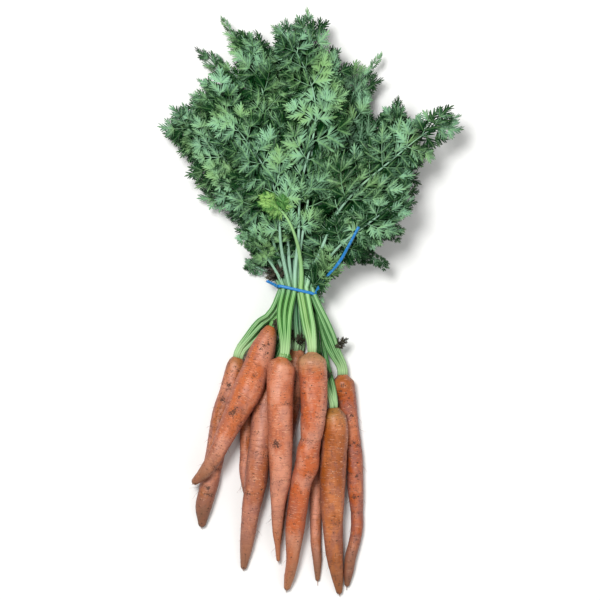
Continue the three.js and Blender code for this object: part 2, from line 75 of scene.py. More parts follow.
# Each carrot, by its letter:
# line: the root's middle from crown to tip, as (x, y, z, radius)
# turn: how far its stems are turned at the crown, in degrees; via: points they pass below the tie
# leaves: (row, column, tipX, tipY, heading at the tip, half width, start of the blade)
# tail: length of the thin end; creases: (distance from the crown, depth, width)
# pits: stained hollows on the upper side, as (x, y, radius, depth)
# gather, roundness, footSpread, footPaleness and pale stand in for rootLook's and leafLook's
carrots = {
    "a": {
        "line": [
            (-66.7, -50.1, 8.1, 7.2), (-68.8, -56.9, 8, 8.1), (-73.5, -76.5, 7.9, 8.5),
            (-80.3, -96.9, 7.9, 8.5), (-83.7, -118.1, 7.9, 8.5), (-91, -156.4, 7.6, 8.1),
            (-96, -176.8, 6.8, 7.2), (-97.3, -190.4, 4, 3.8),
        ],
        "turn": 80,
        "gather": 48,
        "via": [(-55, -31, 8), (-45, -19, 9.5)],
        "leaves": [
            (4, 0, -80, 102, -76, 11, 30),
            (3, 0, -113, 145, -77, 26, 64),
            (2, 0, -124, 160, -64, 30, 74),
            (1, 0, -82, 96, -72, 12, 30),
        ],
        "skin": "#A85E30", "tipSkin": "#6E4A2C", "green": 0.25, "dirt": 0.75, "tail": 1,
        "creases": [(22, 0.5, 1.6), (61, 0.45, 1.5), (96, 0.4, 1.4), (118, 0.5, 1.6)],
        "pits": [
            (-69.3, -56.4, 1.2, 0.3), (-66, -59.5, 1.6, 0.2), (-74, -72, 2.4, 0.2), (-79.5, -84.5, 2.6, 0.3),
            (-81, -101.5, 2.2, 0.5), (-84, -128, 2.4, 0.2), (-92, -160, 3, 0.3),
        ],
        "stalk": "#96C088", "groove": "#437E3E",
    },
    "b": {
        "line": [
            (-37.8, -22.9, 17.5, 3.8), (-39.9, -28.1, 17.8, 7.2), (-44.9, -41.6, 18.6, 11),
            (-49.7, -55.2, 20.3, 11.9), (-58.2, -76.5, 26.6, 12.9), (-69.3, -98.6, 25, 10.2),
            (-78.6, -118.1, 25, 8.1), (-87.1, -135.2, 24.2, 6.8), (-94.8, -146.2, 21.8, 5.5),
            (-102.4, -153.8, 17, 3.4),
        ],
        "footPaleness": 0,
        "roundness": -0.25,
        "leaves": [
            (3, 1, -79, 207, -48, 26, 54),
            (2, 1, -78, 233, -56, 25, 57),
            (1, 1, -106, 182, -48, 29, 58),
        ],
        "skin": "#BE622E", "tipSkin": "#8A5A38", "green": 0.2, "dirt": 0.6, "tail": 1,
        "creases": [(30, 0.5, 1.5), (88, 0.55, 1.6), (112, 0.6, 1.8), (128, 0.7, 2)],
        "pits": [
            (-51.4, -62.9, 1.9, 1.4), (-39.6, -36.2, 2.1, 1.2), (-43.2, -38, 2.2, 0.2),
            (-45.9, -41, 1.9, 0.2), (-41, -44.4, 1.8, 0.2), (-70.4, -95, 4.2, 0.4),
            (-64.6, -81.4, 1.2, 0.5), (-68, -91, 2, 0.2), (-51.5, -91.5, 1.5, 0.2), (-60.3, -75, 0.9, 0.3),
        ],
        "stalk": "#7FB36C", "groove": "#35692E",
    },
    "c": {
        "line": [
            (-27.6, -49.3, 33, 8.5), (-28.9, -55.2, 33, 12.2), (-30, -71.4, 33, 11.6),
            (-30.2, -85.8, 32.6, 11.4), (-29.8, -116.5, 30.2, 10.6), (-29.9, -152.2, 26.2, 9.1),
            (-31, -161.5, 23.8, 7.8), (-32.3, -178.5, 19.3, 5.7), (-32.7, -198.9, 14.2, 4),
            (-32.3, -209.9, 10.5, 2.5), (-31.9, -221.8, 7, 1.7),
        ],
        "gather": 46,
        "roundness": 0.34,
        "leaves": [
            (5, 0, -64, 54, -62, 11, 22),
            (5, 1, -85, 161, -64, 27, 60),
            (5, 2, -36, 237, -52, 30, 63),
            (4, 1, -100, 190, -57, 30, 55),
            (4, 2, -66, 232, -24, 29, 61),
        ],
        "skin": "#C26A40", "tipSkin": "#A66B45", "green": 0.15, "dirt": 0.45, "tail": 1.5,
        "creases": [(38, 0.3, 1.2), (103, 0.5, 1.6)],
        "pits": [(-33.5, -120.7, 4, 0.15), (-31.5, -123, 2, 0.15)],
        "stalk": "#86BA70", "groove": "#33702E",
    },
    "d": {
        "line": [
            (-40.2, -71.4, 12.6, 6), (-41, -77.3, 12.6, 8.4), (-43.8, -92.6, 13.6, 10.4),
            (-46.3, -118.1, 14.9, 10.2), (-49.3, -139.4, 16, 10), (-50.6, -153, 15.9, 9.9),
            (-52.9, -165.8, 14.9, 8.9), (-55.2, -178.5, 12.4, 8.1), (-57.4, -196.3, 8.6, 6.8),
            (-59.1, -209.1, 6.2, 6), (-61.4, -227.8, 3.2, 3),
        ],
        "via": [(-35, -57, 7), (-31, -43, 6)],
        "leaves": [
            (1, 2, -43, 221, -10, 30, 65),
            (0, 2, -77, 198, 2, 30, 65),
            (0, 3, -14, 244, 0, 30, 69),
        ],
        "skin": "#AC6038", "pale": "#C27E62", "tipSkin": "#8E5E42", "green": 0.15, "dirt": 0.6, "tail": 1,
        "creases": [(60, 0.35, 1.2), (94, 0.45, 1.4), (120, 0.4, 1.4)],
        "stalk": "#88BA7C", "groove": "#38703A",
    },
    "e": {
        "line": [
            (-58.2, -92.6, 5, 3.8), (-59.1, -99.5, 4.8, 5.1), (-59.9, -118.1, 4.7, 5.1),
            (-59.9, -130.9, 4.7, 5.1), (-60.8, -146.2, 4.4, 4.7), (-59.1, -163.2, 3.3, 3.4),
            (-57.4, -174.2, 1.7, 1.7),
        ],
        "via": [(-50, -72, 4.5), (-43, -52, 4.4), (-37, -30, 4.2)],
        "leaves": [
            (0, 0, -57, 32, -76, 9, 22),
            (0, 1, -120, 157, -46, 30, 82),
        ],
        "skin": "#B06030", "tipSkin": "#84583A", "green": 0.15, "dirt": 0.6, "tail": 4,
        "creases": [(24, 0.3, 1.1)],
        "stalk": "#88BA7C", "groove": "#38703A",
    },
    "f": {
        "line": [
            (-3, -44.2, 34, 9.3), (-3, -51.9, 34, 12.5), (-1.7, -71.4, 34, 11.9),
            (-1.3, -85.8, 34, 11.3), (-2.3, -101.1, 33.8, 10.8), (-4.1, -118.1, 30.6, 9.3),
            (-6.4, -128.3, 28.6, 10), (-7.2, -139.4, 26.2, 10.2), (-11.5, -152.2, 23.6, 9.3),
            (-13.2, -161.5, 21.6, 8.9), (-15.5, -178.5, 18.4, 8.7), (-17.2, -192.1, 15.8, 8.5),
            (-18.3, -204.8, 13.6, 7.4), (-19.7, -221.8, 10.5, 5.5), (-22.5, -237.2, 6.6, 4.5),
            (-24.2, -245.7, 4, 3),
        ],
        "roundness": 0.5,
        "leaves": [
            (5, 3, -44, 83, -75, 16, 62),
            (5, 4, 125, 153, 74, 30, 60),
            (4, 3, 18, 214, 15, 30, 59),
            (4, 4, 74, 174, 11, 19, 58),
            (3, 3, -3, 250, 14, 30, 69),
            (3, 4, 97, 141, 72, 30, 55),
        ],
        "skin": "#BE5C28", "tipSkin": "#A06A45", "green": 0.75, "dirt": 0.5, "tail": 2,
        "creases": [(20, 0.4, 1.1), (53, 1.2, 1.3), (74, 0.9, 1.9), (104, 0.6, 2), (142, 0.5, 1.6)],
        "pits": [
            (-1.6, -60, 1.2, 0.3), (2.7, -65.4, 1, 0.3), (-9.5, -68.8, 1.6, 0.3), (-4.5, -75, 1.2, 0.3),
            (-10.2, -78.5, 1.4, 0.3), (3.4, -84, 1, 0.3), (-3, -71, 1.4, 0.2), (6.2, -92.5, 1.4, 0.3),
            (-12.4, -163, 1.4, 0.3), (-18.5, -190, 1.3, 0.3),
        ],
        "stalk": "#98C684", "groove": "#4A8A42",
    },
    "g": {
        "line": [
            (-15.7, -43.4, 9.4, 6.4), (-16.6, -50.1, 9.3, 9.3), (-20, -71.4, 9.5, 10.2),
            (-23.4, -92.6, 9.1, 9.8), (-27.6, -118.1, 8.3, 8.9), (-29.3, -143.7, 7.5, 8.1),
            (-30.2, -169.2, 6.3, 6.8), (-31.4, -190.4, 4.8, 5.1), (-32.3, -208.2, 3.1, 3),
        ],
        "footSpread": 1,
        "roundness": 0,
        "leaves": [
            (3, 2, -21, 242, -5, 30, 62),
            (2, 2, -36, 220, -4, 30, 64),
            (2, 3, 31, 178, -2, 30, 59),
            (1, 3, 3, 222, -4, 30, 65),
        ],
        "skin": "#A25A32", "tipSkin": "#8E6040", "green": 0.2, "dirt": 0.75, "tail": 3,
        "creases": [(40, 0.3, 1.2), (90, 0.3, 1.2)],
        "stalk": "#98C8A0", "groove": "#4C8A5C",
    },
    "h": {
        "line": [
            (15.3, -92.6, 22.4, 7.6), (15.7, -97.8, 22.2, 10.2), (16.8, -109.6, 21.6, 11.3),
            (16.1, -126.6, 18.9, 11.4), (14.9, -144.5, 16.7, 11.5), (14.4, -170, 14.6, 10.5),
            (14.9, -192.1, 12.2, 8.9), (16.1, -213.3, 9.6, 7.8), (17.4, -226.1, 7.7, 6.6),
            (18.8, -235.4, 6.1, 5.5), (20.4, -249, 3.4, 3),
        ],
        "via": [(8.5, -64, 16), (3.5, -42, 10.5)],
        "leaves": [
            (2, 4, 81, 158, 52, 30, 54),
            (1, 4, 50, 202, 51, 30, 59),
            (1, 5, 85, 101, 68, 23, 34),
        ],
        "skin": "#9E5012", "pale": "#C0703C", "tipSkin": "#8A5228", "green": 0.55, "dirt": 0.62, "tail": 2,
        "creases": [(36, 0.5, 1.6), (58, 0.35, 1.3), (98, 0.5, 1.6), (130, 0.5, 1.8)],
        "stalk": "#92BE84", "groove": "#427C40",
    },
    "i": {
        "line": [
            (23.4, -64.6, 9.4, 7.2), (23.8, -70.5, 9.3, 9.8), (26.8, -85.8, 8, 8.5),
            (30.2, -109.6, 6.9, 7.4), (33.6, -135.2, 6.7, 7.2), (34.4, -160.7, 6.5, 7),
            (35.7, -181.9, 5.2, 5.5), (35.7, -194.7, 5, 5.3), (33.6, -207.4, 4.9, 5.1),
            (30.2, -220.2, 5, 5.1), (28.6, -232.9, 4.2, 4.2), (27.4, -243.1, 2.7, 2.5),
        ],
        "turn": -90,
        "gather": 58,
        "roundness": 0.26,
        "via": [(15.3, -41.5, 15)],
        "leaves": [
            (5, 5, 80, 91, 62, 22, 39),
            (4, 5, 66, 67, 95, 22, 27),
            (3, 5, 75, 55, 108, 13, 34),
            (2, 5, 60, 25, 146, 8, 42),
        ],
        "skin": "#AC4E14", "pale": "#C4724A", "tipSkin": "#7A543A", "green": 0.3, "dirt": 0.85, "tail": 3,
        "creases": [(16, 0.7, 1.5), (33, 0.6, 1.8), (60, 0.5, 1.5), (84, 0.5, 1.5), (118, 0.5, 1.5)],
        "pits": [
            (23, -72, 1.8, 0.4), (21.5, -77, 1.6, 0.4), (26.5, -79, 1.3, 0.3), (31, -98, 2.2, 0.4),
            (33, -121, 2.4, 0.4), (35, -150, 2, 0.4), (33, -168, 2.4, 0.3),
        ],
        "stalk": "#92BE84", "groove": "#427C40",
    },
    "j": {
        "line": [
            (-1.3, -87.5, 5, 3.8), (-0.8, -94.3, 4.9, 5.3), (0, -126.6, 4.9, 5.3),
            (0.4, -169.2, 4.7, 5.1), (0.4, -207.4, 4.4, 4.7), (1.7, -224.4, 3.8, 3.8),
            (1.9, -238.8, 2.2, 2.1),
        ],
        "via": [(-1.5, -60, 4.6), (-1.5, -43, 4.4)],
        "leaves": [
            (0, 4, 40, 172, 40, 30, 60),
            (0, 5, 95, 119, 82, 29, 40),
        ],
        "skin": "#B06030", "tipSkin": "#84583A", "green": 0.15, "dirt": 0.5, "tail": 4,
        "creases": [(50, 0.3, 1.2)],
        "stalk": "#88BA7C", "groove": "#38703A",
    },
}

# curves and stations

def smooth(value):
    share = np.clip(value, 0, 1)
    return share * share * (3 - 2 * share)


def splinePoint(points, share):
    # a centripetal spline through the points; share runs evenly over its spans
    last = len(points) - 1
    index = min(int(share * last), last - 1)
    weight = share * last - index
    here, after = points[index], points[index + 1]
    before = points[index - 1] if index > 0 else 2 * here - after
    beyond = points[index + 2] if index + 2 <= last else 2 * after - here
    gaps = [np.linalg.norm(b - a) ** 0.5 for a, b in ((before, here), (here, after), (after, beyond))]
    middle = gaps[1] if gaps[1] > 1e-4 else 1
    first, final = (gap if gap > 1e-4 else middle for gap in (gaps[0], gaps[2]))
    leaving = (here - before) / first - (after - before) / (first + middle) + (after - here) / middle
    arriving = (after - here) / middle - (beyond - here) / (middle + final) + (beyond - after) / final
    leaving, arriving = leaving * middle, arriving * middle
    bend = -3 * here + 3 * after - 2 * leaving - arriving
    turn = 2 * here - 2 * after + leaving + arriving
    return here + weight * (leaving + weight * (bend + weight * turn))


class Way:
    # a line that is followed by the distance travelled along it
    def __init__(self, points):
        self.points = np.array(points, float)
        steps = np.linalg.norm(np.diff(self.points[:, :3], axis=0), axis=1)
        self.travelled = np.concatenate([[0], np.cumsum(steps)])
        self.length = self.travelled[-1]

    def at(self, travelled):
        columns = [np.interp(travelled, self.travelled, column) for column in self.points.T]
        return np.stack(columns, axis=-1)

    def heading(self, travelled, reach=0.6):
        ahead = self.at(np.minimum(travelled + reach, self.length))
        behind = self.at(np.maximum(travelled - reach, 0))
        difference = (ahead - behind)[..., :3]
        return difference / np.linalg.norm(difference, axis=-1, keepdims=True)


def splineWay(points, steps=240):
    spots = [np.array(point, float) for point in points]
    return Way([splinePoint(spots, step / steps) for step in range(steps + 1)])


def sideways(heading):
    right = Vector(heading).cross(Vector((0, 0, 1))).normalized()
    above = right.cross(Vector(heading)).normalized()
    return right, above


def placeMatrix(middle, across, rise, heading):
    columns = [Vector(vector).to_4d() for vector in (across, rise, heading, middle)]
    for column, last in zip(columns, (0, 0, 0, 1)):
        column[3] = last
    return Matrix(columns).transposed()


def station(middle, heading, across, rise):
    # a ring's place: its across and up directions, scaled, and its middle
    right, above = sideways(heading)
    return placeMatrix(middle, right * across, above * rise, Vector(heading))


# meshes: every bmesh carries the same four attributes for its material
# straight: place in the piece as if it were pulled straight, in millimetres
# stalk: 1 on stems, 0 on leaflets; shade: a leaf's tone, painted shade included, or the share of the way down
# a root
# stain: dirt on a root, paleness of a stem's foot

def newBmesh():
    bm = bmesh.new()
    layers = {"straight": bm.verts.layers.float_vector.new("straight")}
    for name in ("stalk", "shade", "stain"):
        layers[name] = bm.verts.layers.float.new(name)
    return bm, layers


def partsOf(made, kind):
    return [part for part in made if isinstance(part, kind)]


def sweep(bm, layers, sides, stations, shapeRing=None, **values):
    # pulls a ring along the stations and closes both ends; a station is (matrix, along, stain)
    ring = bmesh.ops.create_circle(bm, cap_ends=False, segments=sides, radius=1)["verts"]
    if shapeRing:
        shapeRing(ring)
    edges = list({edge for vert in ring for edge in vert.link_edges})
    now = Matrix.Identity(4)
    rings = []
    for index, (matrix, along, stain) in enumerate(stations):
        if index:
            made = bmesh.ops.extrude_edge_only(bm, edges=edges)["geom"]
            ring, edges = partsOf(made, bmesh.types.BMVert), partsOf(made, bmesh.types.BMEdge)
        else:
            bmesh.ops.contextual_create(bm, geom=edges)
        bmesh.ops.transform(bm, matrix=matrix @ now.inverted(), verts=ring)
        now = matrix
        back = matrix.inverted()
        across, rise = matrix.col[0].length, matrix.col[1].length
        for vert in ring:
            spot = back @ vert.co
            vert[layers["straight"]] = (spot.x * across, spot.y * rise, along)
            vert[layers["stain"]] = stain
            for name, value in values.items():
                vert[layers[name]] = value
        rings.append(ring)
    bmesh.ops.contextual_create(bm, geom=edges)
    return rings


def addCopy(bm, layers, mesh, matrix, shift):
    # a copy of a mesh, its tone shifted
    first = len(bm.verts)
    bm.from_mesh(mesh)
    bm.verts.ensure_lookup_table()
    new = bm.verts[first:]
    bmesh.ops.transform(bm, matrix=matrix, verts=new)
    for vert in new:
        vert[layers["shade"]] += shift


def meshFrom(bm, name):
    mesh = bpy.data.meshes.new(name)
    bm.to_mesh(mesh)
    bm.free()
    return mesh


def finishPiece(bm, name, material, node):
    bmesh.ops.recalc_face_normals(bm, faces=bm.faces)
    bmesh.ops.scale(bm, vec=(mm, mm, mm), verts=bm.verts)
    for vert in bm.verts:
        vert.co.z = max(vert.co.z, 0)
    for face in bm.faces:
        face.smooth = True
    piece = bpy.data.objects.new(name, meshFrom(bm, name))
    bpy.context.scene.collection.objects.link(piece)
    piece.data.materials.append(material)
    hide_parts(node)
    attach(piece, "root")
    return piece


# node helpers

def hexColour(text):
    parts = [int(text[index:index + 2], 16) / 255 for index in (1, 3, 5)]
    linear = [part / 12.92 if part <= 0.04045 else ((part + 0.055) / 1.055) ** 2.4 for part in parts]
    return (*linear, 1)


def addNode(tree, kind, inputs=None, **settings):
    made = tree.nodes.new(kind)
    for name, value in settings.items():
        setattr(made, name, value)
    for key, value in (inputs or {}).items():
        if isinstance(value, bpy.types.NodeSocket):
            tree.links.new(value, made.inputs[key])
        else:
            made.inputs[key].default_value = value
    return made


def maths(tree, operation, first, second=0.0):
    return addNode(tree, "ShaderNodeMath", {0: first, 1: second}, operation=operation).outputs[0]


def add(tree, first, second):
    return maths(tree, "ADD", first, second)


def times(tree, first, second):
    return maths(tree, "MULTIPLY", first, second)


def blend(tree, factor, first, second):
    return addNode(tree, "ShaderNodeMix", {0: factor, 6: first, 7: second}, data_type="RGBA").outputs[2]


def between(tree, value, low, high, start=0.0, end=1.0):
    # runs smoothly from start, where the value is low, to end, where it is high
    inputs = {"Value": value, "From Min": low, "From Max": high, "To Min": start, "To Max": end}
    made = addNode(tree, "ShaderNodeMapRange", inputs, interpolation_type="SMOOTHSTEP")
    return made.outputs["Result"]


def grain(tree, vector, stretch, detail=3.0, roughness=0.55, shift=(0, 0, 0)):
    mapped = addNode(tree, "ShaderNodeMapping", {"Vector": vector, "Scale": stretch, "Location": shift})
    inputs = {"Vector": mapped.outputs[0], "Scale": 1.0, "Detail": detail, "Roughness": roughness}
    return addNode(tree, "ShaderNodeTexNoise", inputs).outputs["Fac"]


def attribute(tree, name, output="Fac"):
    return addNode(tree, "ShaderNodeAttribute", attribute_name=name).outputs[output]


def objectPlace(tree):
    return addNode(tree, "ShaderNodeTexCoord").outputs["Object"]


def separate(tree, vector):
    return addNode(tree, "ShaderNodeSeparateXYZ", {0: vector}).outputs


def newGroup(name, colours, numbers=()):
    # a surface's node group, which puts out its colour, roughness and height
    tree = bpy.data.node_groups.new(name, "ShaderNodeTree")
    sockets = [(socketName, "INPUT", "NodeSocketColor") for socketName in colours]
    sockets += [(socketName, "INPUT", "NodeSocketFloat") for socketName in numbers]
    sockets += [("Colour", "OUTPUT", "NodeSocketColor")]
    sockets += [(socketName, "OUTPUT", "NodeSocketFloat") for socketName in ("Roughness", "Height")]
    for socketName, direction, kind in sockets:
        tree.interface.new_socket(name=socketName, in_out=direction, socket_type=kind)
    given = tree.nodes.new("NodeGroupInput").outputs
    result = tree.nodes.new("NodeGroupOutput").inputs
    return tree, given, result


def putOut(tree, result, colour, roughness, height):
    for name, value in (("Colour", colour), ("Roughness", roughness), ("Height", height)):
        tree.links.new(value, result[name])


def surfaceMaterial(name, group, colours, numbers, look):
    # one group for the surface's colour, roughness and relief, and the shader itself beside it
    material = bpy.data.materials.new(name)
    material.use_nodes = True
    tree = material.node_tree
    shader = tree.nodes["Principled BSDF"]
    surface = addNode(tree, "ShaderNodeGroup", node_tree=group)
    for key, text in colours.items():
        surface.inputs[key].default_value = hexColour(text)
    for key, value in numbers.items():
        surface.inputs[key].default_value = value
    strength, depth = look["bump"]
    relief = addNode(tree, "ShaderNodeBump", {
        "Height": surface.outputs["Height"], "Strength": strength, "Distance": depth,
    })
    shader.inputs["Specular IOR Level"].default_value = look["specular"]
    tree.links.new(surface.outputs["Colour"], shader.inputs["Base Color"])
    tree.links.new(surface.outputs["Roughness"], shader.inputs["Roughness"])
    tree.links.new(relief.outputs["Normal"], shader.inputs["Normal"])
    return material


# roots

rootLook = {
    "sides": 40,
    "lineSteps": 320,
    "ringStep": 1.25,  # distance between rings along a root
    # rings inside the shoulder, as shares of the crown's radius: (radius, rise, stain)
    "crownDome": [(0.25, 0.06, 0.7), (0.38, 0.2, 0.5), (0.56, 0.28, 0.25), (0.76, 0.23, 0.08),
                  (0.91, 0.12, 0)],
    # rings past the tip, as shares of its radius: (distance, radius), and then those of its thin tail
    "tipDome": [(0.4, 0.93), (0.74, 0.74), (0.98, 0.46), (1.12, 0.2), (1.2, 0.11)],
    "tail": (1.2, 0.06),
    "tipStain": 0.3,
    "roundness": 0.2,  # how far the shoulder is drawn in at the crown
    "shoulder": 14,
    "shoulderCurve": 5,
    "lumps": 0.3,
    "lumpGrain": (1.1, 15),  # how fast they change round a root, and their length along it
    "wrinkles": 0.17,
    "wrinkleGrain": (0.9, 1.9),
    "wrinkleSharpness": 2.2,
    "fullRadius": 6,  # a thinner root has shallower lumps and wrinkles
    "smoothRadius": 0.5,
    "creaseWander": 1.6,
    "creaseRound": (0.35, 0.9, 0.8),  # depth all round, how much it varies, and how fast
    "creaseStain": 0.75,
    "pitEdge": 1.6,  # of a pit's radius
    "pitCurve": 1.4,
    "hairs": 16,
    "hairPlaces": (0.12, 0.85),  # first place along a root, and how far they spread from it
    "hairLength": (4, 11),
    "hairRadius": 0.13,
    "hairSteps": 4,
    "hairStain": (0.35, 0.95),  # its dirt, and its shade of the tip's colour
    "hairBend": 0.35,
    "hairSunk": 0.4,
    "skinPale": "#D28A6C",
    "skinDeep": "#7C3F1E",
    "shoulderGreen": "#7E7434",
    "soil": "#33261F",
    "film": "#8B5850",
    "mark": "#F2B68E",
    "seedStep": 17.0,
    "bump": (0.55, 0.0006),
    "specular": 0.5,
}

# the skin's patterns: (stretch, detail, roughness, shift)
skinGrain = {
    "rings": ((0.09, 0.09, 0.85), 4),
    "fineRings": ((0.16, 0.16, 2.4), 3),
    "patches": ((0.06, 0.06, 0.035), 3),
    "film": ((0.1, 0.1, 0.07), 5, 0.62, (31, 2, 4)),
    "marks": ((0.19, 0.19, 1.5), 1, 0.4, (7, 3, 0)),
    "smudges": ((0.16, 0.16, 0.2), 5, 0.7, (0, 11, 5)),
    "specks": ((0.62, 0.62, 0.9), 1, 0.5, (2, 0, 9)),
    "blots": ((0.28, 0.28, 0.42), 2, 0.6, (5, 8, 1)),
    "ragged": ((0.75, 0.75, 0.9), 3, 0.6, (4, 4, 7)),
}

# where an effect starts and is full, and its amounts there if they aren't 0 and 1
skinRange = {
    "pale": (0.4, 0.62),
    "deepRings": (0.46, 0.28, 0, 0.55),
    "paleRings": (0.58, 0.74, 0, 0.4),
    "sides": (0.6, 1.0),
    "filmDown": (0.25, 0.95, 0, 0.1),
    "film": (0.46, 0.68),
    "marks": (0.66, 0.71, 0, 0.62),
    "markLines": (0.73, 0.76, 0, 0.85),
    "markDents": (0.72, 0.78),
    "tip": (0.66, 1.04),
    "tipPatches": (0.25, 0.6, 0.35, 1),
    "crown": (0.11, 0.0),
    "crownPatches": (0.2, 0.6, 1, 0.5),
    "smudges": (0.56, 0.7),
    "specks": (0.66, 0.71),
    "blots": (0.69, 0.74),
    "ragged": (0.3, 0.7, -0.75, 0.35),
    "stained": (0.05, 0.75),
    "anyStain": (0, 0.15),
    "roughness": (0.3, 0.7, 0.5, 0.36),
}

skinAmount = {
    # extra film on a root's sides, partly dirt and partly painted shade
    "sidesDirtAndShade": 0.19,
    "film": 0.85,
    "filmRoughness": 0.2,
    "smudges": 0.55,
    "specks": 0.9,
    "leastDirt": 0.25,
    "blots": 0.85,
    "stain": 1.1,
    "stained": 0.85,
    "dirtRoughness": 0.4,
    "fineRingRelief": 0.35,
    "markRelief": 0.3,
    "speckRelief": 0.25,
    "blotRelief": 0.3,
}


def makeSkinGroup():
    tree, given, result = newGroup(
        "carrotSkin", ("Skin", "Pale", "Deep", "Tip", "Shoulder", "Soil", "Film", "Mark"),
        ("Greenness", "Dirtiness", "Seed"),
    )
    straight = attribute(tree, "straight", "Vector")
    seeded = addNode(tree, "ShaderNodeCombineXYZ", {0: given["Seed"], 1: given["Seed"]})
    place = addNode(tree, "ShaderNodeVectorMath", {0: straight, 1: seeded.outputs[0]}).outputs[0]
    down = attribute(tree, "shade")  # 0 at the crown, 1 at the tip
    stain = attribute(tree, "stain")
    pattern = {name: grain(tree, place, *values) for name, values in skinGrain.items()}

    def ranged(value, name):
        return between(tree, value, *skinRange[name])

    def part(value, name):
        return times(tree, value, skinAmount[name])

    colour = blend(tree, ranged(pattern["patches"], "pale"), given["Skin"], given["Pale"])
    colour = blend(tree, ranged(pattern["rings"], "deepRings"), colour, given["Deep"])
    colour = blend(tree, ranged(pattern["fineRings"], "paleRings"), colour, given["Pale"])
    # a thin dull film of dried soil, more of it down the root; the extra film on the sides is partly dirt and
    # partly painted shade
    across = separate(tree, straight)
    angle = maths(tree, "ARCTAN2", across[1], across[0])
    besides = ranged(maths(tree, "ABSOLUTE", maths(tree, "COSINE", angle)), "sides")
    film = add(tree, pattern["film"], part(besides, "sidesDirtAndShade"))
    film = add(tree, film, ranged(down, "filmDown"))
    dull = times(tree, ranged(film, "film"), given["Dirtiness"])
    colour = blend(tree, part(dull, "film"), colour, given["Film"])
    # short pale marks across the root, some with a dark line in them
    colour = blend(tree, ranged(pattern["marks"], "marks"), colour, given["Mark"])
    colour = blend(tree, ranged(pattern["marks"], "markLines"), colour, given["Deep"])
    tipPatch = times(tree, ranged(down, "tip"), ranged(pattern["patches"], "tipPatches"))
    colour = blend(tree, tipPatch, colour, given["Tip"])
    nearCrown = times(tree, ranged(down, "crown"), ranged(film, "crownPatches"))
    colour = blend(tree, times(tree, nearCrown, given["Greenness"]), colour, given["Shoulder"])
    # soil: smudges, fine dark specks, blots, and what is caught in the creases
    specks, blots = ranged(pattern["specks"], "specks"), ranged(pattern["blots"], "blots")
    smudges = part(ranged(pattern["smudges"], "smudges"), "smudges")
    dirt = maths(tree, "MAXIMUM", smudges, part(specks, "specks"))
    dirt = times(tree, dirt, add(tree, given["Dirtiness"], skinAmount["leastDirt"]))
    dirt = maths(tree, "MAXIMUM", dirt, part(blots, "blots"))
    caught = add(tree, part(stain, "stain"), ranged(pattern["ragged"], "ragged"))
    caught = times(tree, ranged(caught, "stained"), ranged(stain, "anyStain"))
    dirt = maths(tree, "MINIMUM", maths(tree, "MAXIMUM", dirt, part(caught, "stained")), 1)
    colour = blend(tree, dirt, colour, given["Soil"])
    rough = add(tree, ranged(pattern["rings"], "roughness"), part(dirt, "dirtRoughness"))
    rough = add(tree, rough, part(dull, "filmRoughness"))
    relief = add(tree, pattern["rings"], part(pattern["fineRings"], "fineRingRelief"))
    relief = maths(tree, "SUBTRACT", relief, part(ranged(pattern["marks"], "markDents"), "markRelief"))
    relief = add(tree, relief, part(specks, "speckRelief"))
    relief = maths(tree, "SUBTRACT", relief, part(blots, "blotRelief"))
    putOut(tree, result, colour, rough, relief)
    return tree


def rounded(carrot, travelled):
    # draws the shoulder in towards the crown
    left = max(0, 1 - travelled / rootLook["shoulder"])
    return 1 - carrot.get("roundness", rootLook["roundness"]) * left ** rootLook["shoulderCurve"]


def rootStations(carrot):
    line = [np.array(point, float) for point in carrot["line"]]
    shares = [step / rootLook["lineSteps"] for step in range(rootLook["lineSteps"] + 1)]
    middles = [splinePoint([point[:3] for point in line], share) for share in shares]
    radii = [splinePoint([point[3:] for point in line], share) for share in shares]
    way = Way([np.concatenate(pair) for pair in zip(middles, radii)])
    count = round(way.length / rootLook["ringStep"])
    stations = []
    crown, crownHeading = way.at(0), way.heading(0)
    # the crown: a small dip for the stems, inside a domed shoulder
    topRadius = crown[3] * rounded(carrot, 0)
    for share, rise, stain in rootLook["crownDome"]:
        middle = crown[:3] - crownHeading * rise * topRadius
        place = station(middle, crownHeading, topRadius * share, topRadius * share)
        stations.append((place, -rise * topRadius, stain))
    for step in range(count + 1):
        travelled = way.length * step / count
        middle, radius = way.at(travelled)[:3], way.at(travelled)[3] * rounded(carrot, travelled)
        stations.append((station(middle, way.heading(travelled), radius, radius), travelled, 0))
    tip, tipHeading = way.at(way.length), way.heading(way.length)
    tailFrom, tailShare = rootLook["tail"]
    for ahead, share in [*rootLook["tipDome"], (tailFrom + carrot["tail"] / tip[3], tailShare)]:
        middle = tip[:3] + tipHeading * ahead * tip[3]
        middle[2] = max(middle[2], tip[3] * share)
        place = station(middle, tipHeading, tip[3] * share, tip[3] * share)
        stations.append((place, way.length + ahead * tip[3], rootLook["tipStain"]))
    return stations, way


